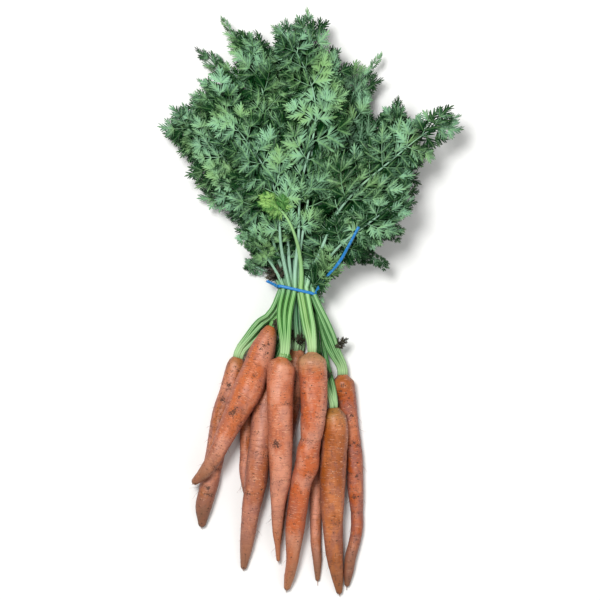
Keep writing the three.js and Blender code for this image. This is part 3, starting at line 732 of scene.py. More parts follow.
def wrinkleRoot(bm, layers, carrot, way, seed):
    # pushes every point in or out along its own section
    lumpRound, lumpLength = rootLook["lumpGrain"]
    wrinkleRound, wrinkleLength = rootLook["wrinkleGrain"]
    creaseLeast, creaseVaries, creaseRound = rootLook["creaseRound"]
    for vert in bm.verts:
        across, rise, along = vert[layers["straight"]]
        radius = math.hypot(across, rise)
        if radius < rootLook["smoothRadius"]:
            continue
        besideX, besideY = across / radius, rise / radius
        lump = noise.noise(Vector((besideX * lumpRound, besideY * lumpRound, along / lumpLength + seed * 9)))
        ridge = noise.noise(Vector((besideX * wrinkleRound + seed, besideY * wrinkleRound,
                                    along / wrinkleLength)))
        out = rootLook["lumps"] * lump
        out -= rootLook["wrinkles"] * (1 - abs(ridge) * rootLook["wrinkleSharpness"])
        stain = vert[layers["stain"]]
        for where, depth, width in carrot["creases"]:
            wander = rootLook["creaseWander"] * noise.noise(Vector((besideX, besideY, where)))
            near = math.exp(-((along - where - wander) / width) ** 2)
            patchy = noise.noise(Vector((besideX * creaseRound, besideY * creaseRound, where + 3)))
            part = max(0, creaseLeast + creaseVaries * patchy)
            out -= depth * near * part
            stain = max(stain, rootLook["creaseStain"] * near * part)
        onWay = min(max(along, 0), way.length)
        right, above = sideways(way.heading(onWay))
        outward = right * besideX + above * besideY
        middleHeight = way.at(onWay)[2]
        for pitX, pitY, pitRadius, pitDepth in carrot.get("pits", []):
            away = math.hypot(vert.co.x - pitX, vert.co.y - pitY) / pitRadius
            if away < rootLook["pitEdge"] and vert.co.z > middleHeight:
                near = math.exp(-(away ** 2) * rootLook["pitCurve"])
                out -= pitDepth * near
                stain = max(stain, near)
        vert.co += outward * out * min(1, radius / rootLook["fullRadius"])
        vert.co.z = max(vert.co.z, 0.02)
        vert[layers["shade"]] = min(max(along / way.length, 0), 1)
        vert[layers["stain"]] = stain


def growHairs(bm, layers, way, rng):
    # fine side roots that lie close to the skin
    first, spread = rootLook["hairPlaces"]
    steps = rootLook["hairSteps"]
    stain, shade = rootLook["hairStain"]
    for _ in range(rootLook["hairs"]):
        travelled = way.length * (first + spread * rng.random())
        middle, radius = way.at(travelled)[:3], way.at(travelled)[3]
        right, above = sideways(way.heading(travelled))
        angle = math.pi * rng.uniform(-0.1, 1.1)  # mostly on the upper side
        outward = right * math.cos(angle) + above * math.sin(angle)
        along = Vector(way.heading(travelled)) * rng.uniform(0.5, 1.2)
        around = (right * -math.sin(angle) + above * math.cos(angle)) * rng.uniform(-1, 1)
        heading = (outward * 0.55 + along + around * 0.6).normalized()
        length = rng.uniform(*rootLook["hairLength"])
        spot = Vector(middle) + outward * (radius - rootLook["hairSunk"])
        stations = []
        for step in range(steps + 1):
            thick = rootLook["hairRadius"] * (1 - 0.75 * (step / steps))
            stations.append((station(spot, heading, thick, thick), travelled, stain))
            bend = Vector((rng.uniform(-1, 1), rng.uniform(-1, 1), rng.uniform(-1, 0.3)))
            heading = (heading + bend * rootLook["hairBend"]).normalized()
            spot = spot + heading * length / steps
            spot.z = max(spot.z, 0.3)
        sweep(bm, layers, 3, stations, shade=shade)


def makeRoot(letter, carrot, seed, skinGroup):
    rng = random.Random(f"root {letter}")
    bm, layers = newBmesh()
    stations, way = rootStations(carrot)
    sweep(bm, layers, rootLook["sides"], stations)
    wrinkleRoot(bm, layers, carrot, way, seed)
    growHairs(bm, layers, way, rng)
    colours = {
        "Skin": carrot["skin"], "Tip": carrot["tipSkin"], "Pale": carrot.get("pale", rootLook["skinPale"]),
        "Deep": rootLook["skinDeep"], "Shoulder": rootLook["shoulderGreen"], "Soil": rootLook["soil"],
        "Film": rootLook["film"], "Mark": rootLook["mark"],
    }
    numbers = {
        "Greenness": carrot["green"], "Dirtiness": carrot["dirt"], "Seed": seed * rootLook["seedStep"],
    }
    material = surfaceMaterial(f"skin{letter.upper()}", skinGroup, colours, numbers, rootLook)
    return finishPiece(bm, f"root{letter.upper()}", material, f"carrot_{letter}")


# leaves

leafLook = {
    "stemSides": 14,
    "stemStep": 5,
    "stemFlatness": 0.92,  # height of a stem's section against its width
    "stemSize": (0.9, 1.06),
    "stemTone": (0.25, 0.7),
    "channel": 0.3,  # how far the top of a stem's section is sunk
    "channelEdge": (0.7, 1.2),  # height at which it starts, and how fast it gets shallow sideways
    "ridge": 0.1,  # height of the ridges along a stem, as a share of its radius
    "turnFrom": 0.04,  # where a group's stems start to turn, as a share of their way to the tie
    "turnOver": 0.84,
    "footSpread": 0.38,  # the stems of one root close up towards its crown
    "footLength": 26,
    "footStart": 2,
    "footPaleness": 0.55,
    "sheath": 0.12,
    "sheathLength": 16,
    "ribStep": 6,
    "ribShare": 0.97,  # how much of the leaf's line the rib follows
    "ribBase": 0.95,
    "ribTip": 0.3,
    "ribTone": 0.5,  # how much of the stalk's colour the rib keeps inside the blade
    "taperAhead": 8,
    "intoBlade": 12,
    "wander": 3.2,  # how far a leaf's middle rib strays sideways
    "wanderFrom": 70,
    "wanderLength": (17, 26),
    "pairs": (5, 6),  # pairs of the solid's pinnae on a short blade and on a long one
    "longBlade": 110,
    "pairedShare": 0.84,  # share of the blade that carries the pairs
    "firstReach": 0.86,
    "pinnaAxis": 0.45,
    "pairsByRow": (1, 2, 2, 2, 1.5, 1.5),  # pairs of pinnae for each pair of the solid
    "narrowing": 0.56,
    "lowerPairs": ((-12, 0.6), (-24, 0.5), (-34, 0.34)),  # before the blade: (place, share of its width)
    "lowerByRow": (3, 3, 3, 2, 1, 1),  # how many of them a leaf has
    "lowerFrom": 40,  # only a leaf with this much stem has them
    "smallBelow": 17,  # pinnae narrower than this have fewer leaflets
    "pinnaLean": (0.6, 0.5),  # forward for each millimetre outwards, and more of it by the tip
    "pinnaGrowth": 1.16,  # its length against the solid's
    "pinnaSize": (0.9, 1.08),
    "youngSize": 0.75,
    "pinnaStray": 2.5,
    "pinnaRise": (0.2, 1.6),
    "pinnaRoll": 30,
    "pinnaPitch": (-14, 26),
    "pinnaYaw": 13,
    "pinnaTone": 0.32,
    "tipPinna": 0.2,  # length of the end pinna, as a share of the blade's
    "tipWidth": 0.6,  # of the end pinna, against its length
    "tipPitch": 3,
    "tipRoll": 8,
    "tipTone": 0.2,
    "leafTone": 0.12,
    "shadeByRow": (-0.2, -0.18, -0.15, -0.1, -0.04, 0.01),  # painted shade: the lowest leaves, under the others, are the darkest
    "shadeAcross": 0.0009,  # the leaves on the right are darker, for each millimetre
    "shadeMiddle": -20,
    "lowest": 0.3,
    "youngLeaf": "f1",
    "foot": "#B9D6A0",
    "stripes": (7, 0.13, 0.5),  # round a stem: their number, their depth, and how far its tone moves them
    "bump": (0.3, 0.0004),
    "specular": 0.16,
}

leafColours = {
    "fresh": {
        "Blade": "#88B994", "Fresh": "#7FA65A", "Deep": "#053410", "Bloom": "#B2DAC6",
    },
    "young": {
        "Blade": "#98C472", "Fresh": "#86B458", "Deep": "#3C7432", "Bloom": "#A6D494",
        "Stalk": "#90B872", "Groove": "#4F8A3E",
    },
    "dead": {
        "Blade": "#4A4636", "Fresh": "#3E3626", "Deep": "#14120C", "Bloom": "#5C5440",
        "Stalk": "#5C5440", "Groove": "#1C1812",
    },
}

# the leaf's patterns: (stretch, detail, roughness, shift)
leafGrain = {
    "clouds": ((45, 45, 45), 3),
    "mottle": ((700, 700, 700), 2),
    "hue": ((34, 34, 34), 4, 0.6, (3, 1, 2)),
    "streaks": ((1.3, 1.3, 0.02), 3),  # along the stems
}

# where an effect starts and is full, and its amounts there if they aren't 0 and 1
leafRange = {
    "cloudTone": (0.3, 0.7, -0.28, 0.28),
    "mottleTone": (0.3, 0.7, -0.1, 0.1),
    "fresh": (0.4, 0.68, 0, 0.72),
    "tone": (0.08, 0.92),
    "vein": (0.05, 0.0, 0, 0.4),
    "veinTone": (-0.3, 0.5, 0.2, 1),
    "stripes": (0.34, 0.62),
    "bloomFrom": (0.0, 0.028),  # in metres along Y: the stems have a pale bloom above the tie
    "bloomStripes": (0.3, 0.6, 0.3, 0.9),
    # painted shade on the stems where much lies over them
    "covered": (0, -0.55, 0, 0.7),
    "roughness": (0.3, 0.7, 0.4, 0.56),
}

def makeLeafGroup():
    tree, given, result = newGroup(
        "leafSurface", ("Blade", "Deep", "Stalk", "Groove", "Foot", "Bloom", "Fresh"),
    )
    place = attribute(tree, "straight", "Vector")
    spot = objectPlace(tree)
    stalk = attribute(tree, "stalk")
    shade = attribute(tree, "shade")
    clouds, mottle, hue = (grain(tree, spot, *leafGrain[name]) for name in ("clouds", "mottle", "hue"))
    streaks = grain(tree, place, *leafGrain["streaks"])

    def ranged(value, name):
        return between(tree, value, *leafRange[name])

    tone = add(tree, shade, ranged(clouds, "cloudTone"))
    tone = add(tree, tone, ranged(mottle, "mottleTone"))
    blade = blend(tree, ranged(hue, "fresh"), given["Blade"], given["Fresh"])
    # from Deep to the blade's colour by tone, which holds random tone and the painted shade of low and
    # covered leaves
    blade = blend(tree, ranged(tone, "tone"), given["Deep"], blade)
    across = separate(tree, place)
    vein = times(tree, ranged(maths(tree, "ABSOLUTE", across[0]), "vein"), ranged(tone, "veinTone"))
    blade = blend(tree, vein, blade, given["Stalk"])
    # stems: lengthwise stripes, then bloom, a pale foot, and painted shade where much lies over them
    angle = maths(tree, "ARCTAN2", across[1], across[0])
    number, depth, byTone = leafLook["stripes"]
    stripes = times(tree, maths(tree, "SINE", times(tree, angle, number)), depth)
    stripes = add(tree, stripes, streaks)
    # the tone, with its painted shade under cover, also darkens the stripes
    stripes = add(tree, stripes, times(tree, maths(tree, "SUBTRACT", shade, 0.5), byTone))
    stem = blend(tree, ranged(stripes, "stripes"), given["Groove"], given["Stalk"])
    pastTie = ranged(separate(tree, spot)[1], "bloomFrom")
    stem = blend(tree, times(tree, pastTie, ranged(stripes, "bloomStripes")), stem, given["Bloom"])
    stem = blend(tree, attribute(tree, "stain"), stem, given["Foot"])
    stem = blend(tree, ranged(shade, "covered"), stem, given["Deep"])
    colour = blend(tree, stalk, blade, stem)
    putOut(tree, result, colour, ranged(clouds, "roughness"), blend(tree, stalk, mottle, streaks))
    return tree


# sizes as shares of a leaflet's length
leafletLook = {
    "kinds": 6,
    # its strip: (place along, half width)
    "rows": [(0, 0.045), (0.1, 0.045), (0.31, 0.042), (0.52, 0.04), (0.73, 0.045), (0.87, 0.058),
             (1, 0.012)],
    "stripHalf": 0.06,
    "lobes": [0.43, 0.39, 0.3],  # from the leaflet's foot to its tip
    "lobeSize": (0.84, 1.14),
    "lobeAngle": (34, 46),
    "angleLoss": 4,  # from one lobe to the next
    "lobeRise": (-0.1, 0.25),
    "blunt": 0.34,  # width of a lobe's end against its foot
    "cup": 0.25,
    "arch": 0.16,
    "thickness": 0.026,
}


def makePinnule(rng):
    # one leaflet, 1 long along +Y: a narrow strip with three pairs of forward-leaning lobes
    bm, layers = newBmesh()
    rows = leafletLook["rows"]
    bmesh.ops.create_grid(bm, x_segments=1, y_segments=len(rows) - 1, size=0.5)
    for vert in bm.verts:
        along, half = rows[round((vert.co.y + 0.5) * (len(rows) - 1))]
        vert.co = Vector((math.copysign(half, vert.co.x), along, 0))
    bm.edges.ensure_lookup_table()
    for side in (-1, 1):
        for index, reach in enumerate(leafletLook["lobes"]):
            low, high = rows[index + 1][0] - 0.01, rows[index + 2][0] + 0.01
            edge = next(
                edge for edge in bm.edges
                if all(0 < vert.co.x * side < leafletLook["stripHalf"] and low < vert.co.y < high
                       for vert in edge.verts)
            )
            made = bmesh.ops.extrude_edge_only(bm, edges=[edge])["geom"]
            ends = partsOf(made, bmesh.types.BMVert)
            reach *= rng.uniform(*leafletLook["lobeSize"])
            angle = math.radians(rng.uniform(*leafletLook["lobeAngle"]) - leafletLook["angleLoss"] * index)
            middle = sum((vert.co for vert in ends), Vector()) / 2
            blunt = Matrix.Scale(leafletLook["blunt"], 4)
            pinch = Matrix.Translation(middle) @ blunt @ Matrix.Translation(-middle)
            bmesh.ops.transform(bm, matrix=pinch, verts=ends)
            rise = rng.uniform(*leafletLook["lobeRise"])
            move = Vector((side * math.sin(angle), math.cos(angle), rise)) * reach
            bmesh.ops.translate(bm, vec=move, verts=ends)
    for vert in bm.verts:
        vert[layers["straight"]] = (vert.co.x, vert.co.y, 0)
        vert.co.z += leafletLook["cup"] * abs(vert.co.x) - leafletLook["arch"] * vert.co.y ** 2
    bmesh.ops.solidify(bm, geom=bm.faces[:], thickness=leafletLook["thickness"])
    bmesh.ops.recalc_face_normals(bm, faces=bm.faces)
    return meshFrom(bm, "leafletShape")


def turned(yaw, pitch, roll):
    # about Z, then lifted at the tip, then rolled about its own length
    return (Matrix.Rotation(math.radians(yaw), 4, "Z") @ Matrix.Rotation(math.radians(pitch), 4, "X")
            @ Matrix.Rotation(math.radians(roll), 4, "Y"))


# sizes as shares of a pinna's length
pinnaLook = {
    "kinds": 5,
    "pairs": {  # (place along, length of the leaflets)
        "large": ((0.12, 0.5), (0.36, 0.47), (0.6, 0.36)),
        "small": ((0.14, 0.56), (0.46, 0.46)),
    },
    "leafletSize": (0.85, 1.12),
    "leafletYaw": (40, 58),
    "leafletRoll": 20,
    "leafletPitch": (-10, 18),
    "leafletTone": (0.36, 0.68),
    "stray": 0.02,
    "endPitch": 8,
    "stalk": 0.016,
    "stalkTaper": 0.6,
    "stalkSteps": 3,
    "bend": (0.05, 0.3),  # the tip sweeps forward
    "droop": (0.0, 0.22),
}


def makePinna(rng, leaflets, pairs, mirrored):
    # a side branch of a leaf, 1 long along +Y, with leaflets in pairs and one at its end
    bm, layers = newBmesh()
    for spot, size in pairs:
        for side in (-1, 1):
            yaw = -side * rng.uniform(*pinnaLook["leafletYaw"])
            length = size * rng.uniform(*pinnaLook["leafletSize"])
            along = spot + rng.uniform(-pinnaLook["stray"], pinnaLook["stray"])
            roll = rng.uniform(-1, 1) * pinnaLook["leafletRoll"]
            turn = turned(yaw, rng.uniform(*pinnaLook["leafletPitch"]), roll)
            matrix = Matrix.Translation((0, along, 0)) @ turn @ Matrix.Scale(length, 4)
            addCopy(bm, layers, rng.choice(leaflets), matrix, rng.uniform(*pinnaLook["leafletTone"]))
    last = pairs[-1][0]
    turn = turned(0, rng.uniform(-pinnaLook["endPitch"], pinnaLook["endPitch"]), 0)
    matrix = Matrix.Translation((0, last, 0)) @ turn @ Matrix.Scale(1 - last, 4)
    addCopy(bm, layers, rng.choice(leaflets), matrix, rng.uniform(*pinnaLook["leafletTone"]))
    stations = []
    for step in range(pinnaLook["stalkSteps"] + 1):
        share = step / pinnaLook["stalkSteps"]
        thick = pinnaLook["stalk"] * (1 - pinnaLook["stalkTaper"] * share)
        stations.append((station((0, last * share, 0), (0, 1, 0), thick, thick), 20 * share, 0))
    sweep(bm, layers, 4, stations, stalk=0.6, shade=0.5)
    bend, droop = rng.uniform(*pinnaLook["bend"]), rng.uniform(*pinnaLook["droop"])
    for vert in bm.verts:
        vert.co.x -= bend * vert.co.y ** 2
        vert.co.z -= droop * vert.co.y ** 2
    if mirrored:
        bmesh.ops.scale(bm, vec=(-1, 1, 1), verts=bm.verts)
    bmesh.ops.recalc_face_normals(bm, faces=bm.faces)
    return meshFrom(bm, "pinnaShape")


def slotAt(row, column):
    stagger = bunch["stemPitch"] / 4 * (1 if row % 2 else -1)
    x = bunch["tieX"] + (column - (bunch["columns"] - 1) / 2) * bunch["stemPitch"] + stagger
    return np.array((x, bunch["tieY"], bunch["lowestRow"] + row * bunch["rowRise"]))


def groupWay(carrot, middleSlot):
    # the way of one carrot's stems from its crown to the tie
    first, second = (np.array(point[:3], float) for point in carrot["line"][:2])
    outward = (first - second) / np.linalg.norm(first - second)
    flare = (
        bunch["tieX"] + (middleSlot[0] - bunch["tieX"]) * bunch["flareAcross"],
        bunch["tieY"] - bunch["flareBelow"],
        bunch["lowestRow"] + (middleSlot[2] - bunch["lowestRow"]) * bunch["flareUp"],
    )
    foot = first + outward * bunch["crownGap"]
    neck = first + outward * bunch["neckLength"]
    nearTie = (middleSlot[0], bunch["tieY"] - 1, middleSlot[2])
    return splineWay([foot, neck, *carrot.get("via", []), flare, nearTie])


def fanWay(slot, tip, heading, rng):
    # the plan of a leaf from its place in the tie to its tip, straying a little sideways
    side = (slot[0] - bunch["tieX"]) / (bunch["stemPitch"] * bunch["columns"] / 2)
    leaving, arriving = math.radians(bunch["fanAngle"] * side), math.radians(heading)
    start, end = slot[:2], np.array(tip, float)
    pull = bunch["pull"] * np.linalg.norm(end - start)
    after = start + pull * np.array((math.sin(leaving), math.cos(leaving)))
    before = end - pull * np.array((math.sin(arriving), math.cos(arriving)))
    shares = np.linspace(0, 1, 201)[:, None]
    back = 1 - shares
    points = back ** 3 * start + 3 * back ** 2 * shares * after
    points = points + 3 * back * shares ** 2 * before + shares ** 3 * end
    plan = Way(np.hstack([points, np.zeros((201, 1))]))
    spots, headings = plan.at(plan.travelled), plan.heading(plan.travelled)
    wave = plan.travelled / rng.uniform(*leafLook["wanderLength"]) + rng.uniform(0, 6)
    stray = smooth(plan.travelled / leafLook["wanderFrom"]) * np.sin(wave)
    stray *= leafLook["wander"] * rng.uniform(0.5, 1)
    spots[:, 0] += headings[:, 1] * stray
    spots[:, 1] -= headings[:, 0] * stray
    return Way(spots)


def bundleHalf():
    return (bunch["columns"] - 1) * bunch["stemPitch"] / 2 + bunch["stemPitch"] / 4


def leafHeight(leaf, x, y):
    # the height of a leaf's own layer, which it reaches some way past the tie
    layer = leaf["row"] * bunch["columns"] + bunch["orderInRow"][leaf["column"]]
    outX = (x - bunch["fanMiddle"][0]) / bunch["fanReach"][0]
    outY = (y - bunch["fanMiddle"][1]) / bunch["fanReach"][1]
    out = np.minimum(outX ** 2 + outY ** 2, 1)
    wave = 1 + np.sin(x / bunch["waveLength"][0] + bunch["waveShift"]) * np.cos(y / bunch["waveLength"][1])
    level = bunch["lowestLayer"] + bunch["layerRise"] * layer
    settledHeight = level * (1 - bunch["fanDroop"] * out) + bunch["waveHeight"] * wave
    beside = np.maximum(np.abs(x - bunch["tieX"]) - bundleHalf(), 0)
    settled = smooth(np.hypot(beside, np.maximum(y - bunch["tieY"], 0)) / bunch["settleLength"])
    return leaf["slot"][2] * (1 - settled) + settledHeight * settled


def channelRing(ring):
    # a stem's section: ridged all round, with a shallow channel along its top
    start, fall = leafLook["channelEdge"]
    for index, vert in enumerate(ring):
        vert.co *= 1 + leafLook["ridge"] * (0.5 if index % 2 else -0.5)
        if vert.co.y > start:
            vert.co.y -= leafLook["channel"] * (1 - abs(vert.co.x) * fall)


def belowTie(leaf, group, turn):
    stations = []
    count = max(6, round(group.length / leafLook["stemStep"]))
    for step in range(count):
        share = step / count
        travelled = share * group.length
        heading = group.heading(travelled)
        right, above = sideways(heading)
        angle = math.radians(turn) * (1 - smooth((share - leafLook["turnFrom"]) / leafLook["turnOver"]))
        spread = leaf["footSpread"] + (1 - leaf["footSpread"]) * smooth(travelled / leaf["gather"])
        offsetX, offsetZ = leaf["offset"][0] * spread, leaf["offset"][2] * spread
        across = offsetX * math.cos(angle) - offsetZ * math.sin(angle)
        rise = offsetX * math.sin(angle) + offsetZ * math.cos(angle)
        middle = Vector(group.at(travelled)) + right * across + above * rise
        sheath = leafLook["sheath"] * (1 - smooth(travelled / leafLook["sheathLength"]))
        wide = bunch["stemRadius"] * leaf["thick"] * (1 + sheath)
        pale = 1 - smooth((travelled - leafLook["footStart"]) / leafLook["footLength"])
        place = station(middle, heading, wide, wide * leafLook["stemFlatness"])
        stations.append((place, travelled, leaf["footPaleness"] * pale))
    return stations


def aboveTie(leaf, group):
    stations = []
    plan, reach = leaf["plan"], leaf["reach"]
    ribEnd = leaf["start"] + leafLook["intoBlade"]
    steps = max(8, round(reach / leafLook["ribStep"]))
    for step in range(steps + 1):
        travelled = reach * leafLook["ribShare"] * step / steps
        point, heading = plan.at(travelled), plan.heading(travelled)
        ahead = plan.at(min(travelled + 1, reach))
        height = leafHeight(leaf, point[0], point[1])
        climb = leafHeight(leaf, ahead[0], ahead[1]) - height
        slimmer = smooth((travelled + leafLook["taperAhead"]) / ribEnd)
        radius = bunch["stemRadius"] * leaf["thick"] * (1 - slimmer) + leafLook["ribBase"] * slimmer
        radius -= (leafLook["ribBase"] - leafLook["ribTip"]) * smooth((travelled - ribEnd) / (reach - ribEnd))
        heading = Vector((heading[0], heading[1], climb)).normalized()
        middle = (point[0], point[1], max(height, radius))
        place = station(middle, heading, radius, radius * leafLook["stemFlatness"])
        stations.append((place, group.length + travelled, 0))
    return stations


def pinnaSpots(leaf):
    # where a leaf's pairs of pinnae stand: (distance travelled, reach sideways, share of the blade)
    length = leaf["reach"] - leaf["start"]
    pairs = leafLook["pairs"][length > leafLook["longBlade"]]
    pitch = leafLook["pairedShare"] * length / pairs
    closer = leafLook["pairsByRow"][leaf["row"]]
    spots = []
    for pair in range(round(pairs * closer)):
        place = pair / closer
        first = leafLook["firstReach"] if pair == 0 else 1
        reach = leaf["halfWidth"] * (1 - leafLook["narrowing"] * place / pairs) * first
        spots.append((leaf["start"] + (place + leafLook["pinnaAxis"]) * pitch, reach, place / pairs))
    if leaf["start"] > leafLook["lowerFrom"] and not leaf["young"]:
        lowerPairs = leafLook["lowerPairs"][:leafLook["lowerByRow"][leaf["row"]]]
        spots += [(leaf["start"] + back, leaf["halfWidth"] * share, 0) for back, share in lowerPairs]
    return spots


def placePinnae(leaf, rng, shapes):
    # the blade in its own flat frame: across, distance travelled, height above the leaf's layer
    bm, layers = newBmesh()
    leastLean, moreLean = leafLook["pinnaLean"]
    stray = leafLook["pinnaStray"]
    for travelled, reach, share in pinnaSpots(leaf):
        lean = leastLean + moreLean * share
        for side in (-1, 1):
            hand = "left" if side < 0 else "right"
            kind = "small" if reach < leafLook["smallBelow"] or leaf["young"] else "large"
            yaw = -side * math.degrees(math.atan2(1, lean)) + rng.uniform(-1, 1) * leafLook["pinnaYaw"]
            roll = rng.uniform(-1, 1) * leafLook["pinnaRoll"]
            pitchUp = rng.uniform(*leafLook["pinnaPitch"])
            size = leafLook["pinnaGrowth"] * math.hypot(1, lean) * reach * rng.uniform(*leafLook["pinnaSize"])
            size *= leafLook["youngSize"] if leaf["young"] else 1
            along = travelled + rng.uniform(-stray, stray)
            where = Matrix.Translation((0, along, rng.uniform(*leafLook["pinnaRise"])))
            matrix = where @ turned(yaw, pitchUp, roll) @ Matrix.Scale(size, 4)
            shade = rng.uniform(-leafLook["pinnaTone"], leafLook["pinnaTone"])
            shade += leafLook["shadeByRow"][leaf["row"]] + leaf["shade"]
            addCopy(bm, layers, rng.choice(shapes[kind, hand]), matrix, shade)
    length = leaf["reach"] - leaf["start"]
    tipLength = leafLook["tipPinna"] * length
    size = Matrix.Diagonal((tipLength * leafLook["tipWidth"], tipLength, tipLength, 1))
    where = Matrix.Translation((0, leaf["start"] + (1 - leafLook["tipPinna"]) * length, 0.2))
    turn = turned(0, leafLook["tipPitch"], rng.uniform(-leafLook["tipRoll"], leafLook["tipRoll"]))
    shape = rng.choice(shapes["large", "right"])
    addCopy(bm, layers, shape, where @ turn @ size, rng.uniform(-leafLook["tipTone"], leafLook["tipTone"]))
    return meshFrom(bm, "bladeFlat")


def layBlade(mesh, leaf):
    # bends a flat blade along its leaf's line, which runs on straight past its ends, and onto its layer
    spots = np.empty(len(mesh.vertices) * 3)
    mesh.vertices.foreach_get("co", spots)
    across, travelled, height = spots.reshape(-1, 3).T
    plan = leaf["plan"]
    onPlan = np.clip(travelled, 0, plan.length)
    middle = plan.at(onPlan)
    heading = plan.heading(onPlan)
    beyond = travelled - onPlan
    x = middle[:, 0] + heading[:, 1] * across + heading[:, 0] * beyond
    y = middle[:, 1] - heading[:, 0] * across + heading[:, 1] * beyond
    z = np.maximum(leafHeight(leaf, x, y) + height, leafLook["lowest"])
    mesh.vertices.foreach_set("co", np.stack([x, y, z], axis=1).ravel())


# kinds of side shoots: (pinna, material, width and depth against the length)
sprayKinds = [("large", 0, 1, 1), ("small", 1, 1, 2), ("small", 2, 1, 2), ("large", 0, 0.5, 1)]

# Small side shoots, by the leaf that carries them:
# (distance from the tie, heading from +Y, length, lift, kind)
sprays = {
    "f2": [(3, 24, 22, 16, 0), (9, 16, 26, 20, 0), (14, 26, 28, 18, 0), (22, -8, 26, 20, 0),
           (27, 22, 30, 18, 0), (35, -10, 30, 16, 0)],
    "f4": [(16, 10, 26, 18, 0), (28, -14, 28, 16, 0)],
    "i1": [(2, 14, 25, 14, 0), (0, 50, 27, 57, 0), (1, 58, 25, 50, 0), (5, 38, 32, 56, 0),
           (9, 46, 34, 52, 0), (13, 4, 28, 20, 0), (20, 34, 30, 34, 0), (-56, 58, 11, 18, 1),
           (-54, 100, 8, 10, 1), (-58, 20, 9, 25, 1)],
    "i2": [(2, 50, 14, 10, 0), (9, 30, 26, 14, 0), (19, 44, 20, 8, 0)],
    "i3": [(-3, 140, 12, 4, 0), (7, 40, 22, 12, 0), (17, 12, 28, 16, 0)],
    "i4": [(-8, 168, 13, 4, 0), (-1, 130, 12, 2, 0), (10, 30, 20, 8, 0)],
    "g1": [(-50, 40, 12, 10, 1), (-46, -40, 12, 12, 1)],
    "h1": [(-74, -35, 12, 25, 1), (-70, 20, 11, 25, 1), (-78, 60, 9, 20, 1)],
    "h2": [(212, 38, 20, 6, 3)],
    "a1": [(16, -24, 24, 12, 0), (3, -40, 14, 16, 1), (6, -12, 15, 20, 1)],
    # b1: dark withered shoots over b's crown, put there as painted shade
    "b1": [(-31, 185, 9, 12, 1), (-33, 150, 8, 16, 1), (-30, 215, 8, 10, 1)],
    "b2": [(230, -30, 18, 6, 3)],
    "c1": [(26, -34, 24, 10, 0), (5, -25, 15, 12, 1), (10, -45, 12, 14, 1)],
    "c2": [(24, -40, 24, 14, 0), (34, -5, 26, 12, 0), (-58, 165, 10, 12, 2), (-58, 195, 9, 8, 2)],
    "c5": [(22, 30, 24, 16, 0), (30, -12, 24, 14, 0)],
    "d2": [(190, -50, 40, 8, 3), (196, -28, 24, 8, 3)],
}
sprayLook = {"sunk": 0.7, "roll": 20, "tone": (-0.3, 0.1)}


def growSprays(bm, layers, name, stations, tieAlong, shapes, rng):
    for fromTie, heading, length, lift, kindNumber in sprays.get(name, []):
        kind, materialNumber, wide, deep = sprayKinds[kindNumber]
        stem = min(stations, key=lambda place: abs(place[1] - tieAlong - fromTie))[0]
        rise = Vector((0, 0, stem.col[1].length * sprayLook["sunk"]))
        where = Matrix.Translation(stem.translation + rise)
        shape = rng.choice(shapes[kind, rng.choice(("left", "right"))])
        firstFace = len(bm.faces)
        turn = turned(-heading, lift, rng.uniform(-sprayLook["roll"], sprayLook["roll"]))
        scale = Matrix.Diagonal((length * wide, length, length * deep, 1))
        addCopy(bm, layers, shape, where @ turn @ scale, rng.uniform(*sprayLook["tone"]))
        bm.faces.ensure_lookup_table()
        for face in bm.faces[firstFace:]:
            face.material_index = materialNumber


def makeLeaf(name, letterNumber, leaf, group, turn, materials, shapes):
    rng = random.Random(name)
    leaf["thick"] = rng.uniform(*leafLook["stemSize"])
    bm, layers = newBmesh()
    stations = belowTie(leaf, group, turn) + aboveTie(leaf, group)
    stemTone = rng.uniform(*leafLook["stemTone"])
    sweep(bm, layers, leafLook["stemSides"], stations, channelRing, stalk=1.0, shade=stemTone)
    bladeStart = group.length + leaf["start"]
    for vert in bm.verts:
        intoBlade = smooth((vert[layers["straight"]].z - bladeStart) / leafLook["intoBlade"])
        vert[layers["stalk"]] = 1 - (1 - leafLook["ribTone"]) * intoBlade
    blade = placePinnae(leaf, rng, shapes)
    layBlade(blade, leaf)
    addCopy(bm, layers, blade, Matrix.Identity(4), rng.uniform(-leafLook["leafTone"], leafLook["leafTone"]))
    bpy.data.meshes.remove(blade)
    growSprays(bm, layers, letterNumber, stations, group.length, shapes, rng)
    piece = finishPiece(bm, name, materials[0], f"leaf_{letterNumber}")
    for material in materials[1:]:
        piece.data.materials.append(material)
    return piece


def leafMaterial(name, leafGroup, colours):
    return surfaceMaterial(name, leafGroup, colours | {"Foot": leafLook["foot"]}, {}, leafLook)


def makeLeaves(letter, carrot, shapes, leafGroup, materials):
    upper = letter.upper()
    stalkColours = {"Stalk": carrot["stalk"], "Groove": carrot["groove"]}
    freshMaterial = leafMaterial(f"leaf{upper}", leafGroup, leafColours["fresh"] | stalkColours)
    slots = [slotAt(*place[:2]) for place in carrot["leaves"]]
    middleSlot = sum(slots) / len(slots)
    group = groupWay(carrot, middleSlot)
    made = []
    for number, (row, column, tipX, tipY, heading, halfWidth, start) in enumerate(carrot["leaves"], 1):
        slot = slots[number - 1]
        letterNumber = f"{letter}{number}"
        young = letterNumber == leafLook["youngLeaf"]
        plan = fanWay(slot, (tipX, tipY), heading, random.Random("rib " + letterNumber))
        leaf = {
            "row": row, "column": column, "slot": slot, "plan": plan, "offset": slot - middleSlot,
            "halfWidth": halfWidth, "start": start, "reach": plan.length, "young": young,
            "gather": carrot.get("gather", leafLook["footLength"]),
            "footSpread": carrot.get("footSpread", leafLook["footSpread"]),
            "footPaleness": carrot.get("footPaleness", leafLook["footPaleness"]),
            "shade": leafLook["shadeAcross"] * (leafLook["shadeMiddle"] - tipX),
        }
        ownMaterial = materials["young"] if young else freshMaterial
        slotMaterials = (ownMaterial, materials["dead"], materials["young"])
        turn = carrot.get("turn", 0)
        made.append(makeLeaf(f"leaf{upper}{number}", letterNumber, leaf, group, turn, slotMaterials, shapes))
    return made
